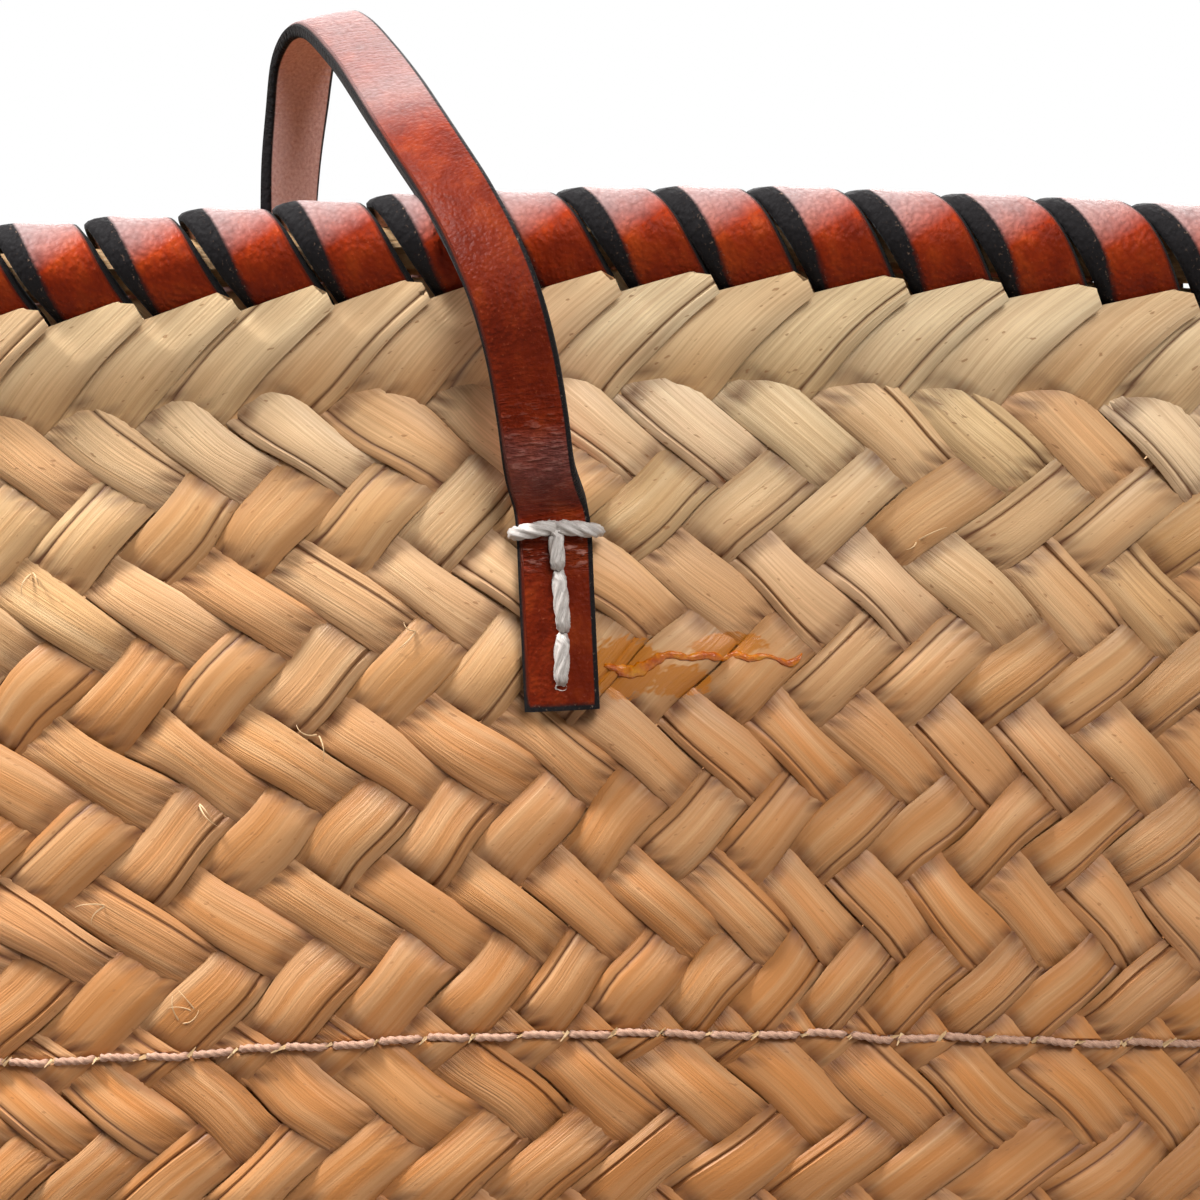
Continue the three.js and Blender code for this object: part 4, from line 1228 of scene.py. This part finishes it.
def seam_splinters(name, station, seed, material):
    """Small torn slivers of leaf that stand up where the twine goes down."""
    random = np.random.default_rng(seed)
    way = float(way_round(*station[:3]))
    stitches = round(way / TWINE_STITCH)
    number = np.repeat(np.arange(stitches), 2)[:, None, None]
    shape = number.shape
    along = np.linspace(0, 1, 4)[:, None]
    heading = random.uniform(0.3, 1.1, shape) + math.pi * random.integers(0, 2, shape)
    reach = random.uniform(0.9, 2.1, shape)
    width = random.uniform(0.18, 0.42, shape) * (1 - 0.75 * along)
    turn = ring_angles(4) + math.pi / 4
    aside = width * np.cos(turn)
    level = (reach * (along - 0.3) * np.cos(heading) - aside * np.sin(heading)
             + random.normal(0, 0.3, shape))
    upward = reach * (along - 0.3) * np.sin(heading) + aside * np.cos(heading)
    out = SEAM_OUT * (0.75 + random.uniform(0.1, 0.7, shape) * along) + 0.09 * np.sin(turn)
    points = surface(along_surface(station, upward), number / stitches + level / way, out)
    fibre = stacked(aside, reach * along, number)
    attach(make_piece(name, points, material, plain_leaf(fibre, "#DDBB8C")), "bag")


def seam_run(name, node, station, offset, seed):
    """Three-ply twine that sews two bands: it lies in the seam and goes down into the
    plait between stitches."""
    way = float(way_round(*station[:3]))
    stitches = round(way / TWINE_STITCH)
    total = stitches * TWINE_RINGS
    share = np.arange(total) / total
    step = math.pi * (share * stitches)
    dip = eased(np.clip((np.abs(np.sin(step)) - 0.12) / 0.34, 0, 1))
    out = offset * (1.75 * dip - 0.75) + 0.05 * wobble(seed, share, 0)
    lean = 0.08 * np.sin(2 * step) + 0.25 * wobble(seed + 1, share, 0)
    path = surface(along_surface(station, lean), share, out)
    path[:, 2] = np.maximum(path[:, 2], PRESSED_FLAT + 0.6)
    along = heading_round(path)
    side = unit(np.cross(along, (0, 0, 1)))
    turn = ring_angles(15)
    twisted = turn - 2 * math.pi * np.round(way * TWINE_TWIST) * share[:, None]
    reach = TWINE_RADIUS * (1 + 0.24 * np.cos(3 * twisted))
    points = tube(path, along, side, reach, turn)
    fibre = stacked(twisted * 0.7, (share * way)[:, None], 0.0)
    set_on_bag(make_piece(name, points[None], seam_twine, {"fibre": fibre},
                          ring_closed=True, sharp=80), node)


upper_seam = wall_station(UPPER_SEAM_HEIGHT)
lower_seam = wall_station(LOWER_SEAM_HEIGHT)
seam_splinters("upper_seam_splinters", upper_seam, 87, palm_upper)
seam_splinters("lower_seam_splinters", lower_seam, 89, palm_middle)
seam_run("upper_seam_stitching", "upper_seam_twine", upper_seam, SEAM_OUT, 81)
seam_run("lower_seam_stitching", "lower_seam_twine", lower_seam, SEAM_OUT, 83)
seam_run("base_seam_stitching", "base_seam_twine", foot_station(0.0), -1.4, 85)

# Dried glue and lifted fibres on the front

# A line of dried glue: along the wall, up, half width
GLUE_LINE = [
    (101.4, 222.2, 0.9), (105.2, 221.3, 1.5), (106.9, 222.0, 1.2), (110.0, 223.6, 0.7),
    (112.8, 223.2, 0.6), (114.7, 223.5, 0.7), (117.5, 223.2, 0.65), (119.2, 223.6, 0.65),
    (120.8, 223.1, 0.7), (123.3, 223.4, 0.5), (124.6, 223.0, 0.4), (126.2, 222.4, 1.0),
    (127.4, 222.9, 0.9), (128.1, 223.8, 0.3),
]
# Places where fibres have lifted off the leaf: along the wall and up
FRAY_PLACES = [(43.5, 173.6), (46.0, 174.6), (76.3, 226.8), (33.6, 189.4), (46.5, 203.4),
               (143.6, 238.8), (62.9, 212.8), (24.0, 234.6)]


def front_place(along, height, offset):
    """A point of the front wall by its distance along the wall and its height."""
    _, long_radius, _, _ = plan_values(*wall_station(height)[:3])
    return on_front(long_radius * math.sin(along / long_radius), height, offset)


def leaf_trees(pieces):
    """Search trees of the strands, to find where their surface is."""
    trees = []
    for piece in pieces:
        shape = bmesh.new()
        shape.from_mesh(piece.data)
        trees.append(BVHTree.FromBMesh(shape))
        shape.free()
    return trees


def leaf_offset(trees, along, height):
    """How far the strands stand out from the middle of the plait at a place."""
    start = 9.0
    point, normal, _ = front_place(along, height, start)
    hits = [tree.ray_cast(point * MM, -normal, 0.02) for tree in trees]
    depths = [hit[3] / MM for hit in hits if hit[0] is not None]
    return start - min(depths) if depths else 0.0


def dried_glue():
    """Dried amber glue: glossy, in darker and paler clots."""
    material, shader = new_material("dried_amber_glue", {
        "Roughness": 0.14, "Specular IOR Level": 0.25,
    })
    fibre = attribute(shader, "fibre")["Vector"]
    clots = stretched_noise(fibre, (0.5, 0.5, 1.0))
    ripples = stretched_noise(fibre, (1.6, 1.6, 1.0), 2.0)
    amber = ramp(clots, [(0.35, "#A84A00"), (0.5, "#C06800"), (0.7, "#D08A0C")])
    fill(shader, {"Base Color": amber, "Normal": bump(ripples, 0.8, 0.0003)})
    return material


def glue_line():
    trees = leaf_trees(upper_pieces)
    samples, _ = curve_through(GLUE_LINE, 0.4)
    offsets = np.array([leaf_offset(trees, along, height) for along, height, _ in samples])
    smooth = np.convolve(np.pad(offsets, 2, mode="edge"), np.ones(5) / 5, "valid")
    path = np.array([front_place(along, height, offset)[0]
                     for (along, height, _), offset in zip(samples, smooth)])
    _, normal, _ = front_place(115, 223, 0)
    along = unit(np.gradient(path, axis=0))
    side = unit(np.cross(along, normal))
    count = np.arange(len(path))
    ends = np.sin(math.pi * (count + 0.5) / len(path)) ** 0.3
    lumps = 1 + 0.22 * np.sin(count * 1.3) * np.sin(count * 0.37)
    half = (0.8 * samples[:, 2] * ends * lumps)[:, None]
    turn = ring_angles(14)
    points = swept(path, side, half * np.cos(turn), np.cross(side, along),
                   np.minimum(half, 0.34) * np.sin(turn))
    return make_piece("dried_glue_line", points[None], dried_glue(),
                      {"fibre": stacked(turn * 0.6, samples[:, :1], 0.0)}, sharp=80)


def frayed_fibres():
    """Fine curled fibres, two at each frayed place."""
    random = np.random.default_rng(97)
    rings = 14
    turn = ring_angles(6)
    share = np.linspace(0, 1, rings)
    radius = (0.13 * (1 - 0.75 * share))[:, None]
    runs = []
    for start, foot in [place for place in FRAY_PLACES for _ in range(2)]:
        step = random.uniform(2.0, 4.5) / rings
        heading = random.uniform(-1.2, 1.2) + (math.pi if random.uniform() < 0.5 else 0)
        angle = heading + random.uniform(-1.6, 1.6) * share
        ways = start + np.cumsum(step * np.cos(angle))
        heights = foot + np.cumsum(step * np.sin(angle))
        offsets = 1.2 + random.uniform(0.8, 1.6) * np.sin(math.pi * share * 0.8)
        path = np.array([front_place(a, h, o)[0] for a, h, o in zip(ways, heights, offsets)])
        along = unit(np.gradient(path, axis=0))
        side = unit(np.cross(along, (0.3, 0.2, 0.9)))
        runs.append(tube(path, along, side, radius, turn))
    return make_piece("frayed_palm_fibres", np.array(runs), palm_upper,
                      plain_leaf(np.zeros(3), "#D9B98E"))


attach(glue_line(), "bag")
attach(frayed_fibres(), "bag")

# Floor and background


def seen_directly(tree):
    """1 for what the camera sees, also in a gloss, and 0 for the light on the object."""
    path = add_node("ShaderNodeLightPath", {}, tree).outputs
    seen = larger(path["Is Camera Ray"], path["Is Transmission Ray"])
    return larger(seen, path["Is Glossy Ray"])


def pale_floor():
    """Pale where the camera sees it, white far away, and darker for the light that it
    throws up."""
    material, shader = new_material("matt_white_board", {
        "Roughness": 0.8, "Emission Color": (1, 1, 1, 1),
    })
    seen = seen_directly(shader.id_data)
    place = add_node("ShaderNodeTexCoord", {}, shader.id_data).outputs["Object"]
    away = add_node("ShaderNodeVectorMath", {0: place}, operation="LENGTH").outputs["Value"]
    far = spread(away, 0.6, 1.3, 0.0, 0.9)
    fill(shader, {"Base Color": mix(seen, colour("#5E5751"), colour("#F0EFED")),
                  "Emission Strength": times(seen, far)})
    mesh = bpy.data.meshes.new("floor")
    reach = 3.0
    corners = [(-reach, -reach, 0), (reach, -reach, 0), (reach, reach, 0), (-reach, reach, 0)]
    mesh.from_pydata(corners, [], [(0, 1, 2, 3)])
    mesh.materials.append(material)
    new_object("floor", mesh)


def white_world():
    """White where the camera or a gloss sees it, and a softer light on the object."""
    scene.world = bpy.data.worlds.new("white_studio")
    scene.world.use_nodes = True
    tree = scene.world.node_tree
    tree.nodes.clear()
    shown = add_node("ShaderNodeBackground", {
        "Color": (1, 1, 1, 1), "Strength": spread(seen_directly(tree), 0, 1, 0.07, 1.0),
    })
    add_node("ShaderNodeOutputWorld", {"Surface": shown.outputs[0]})


pale_floor()
white_world()

bpy.context.view_layer.update()
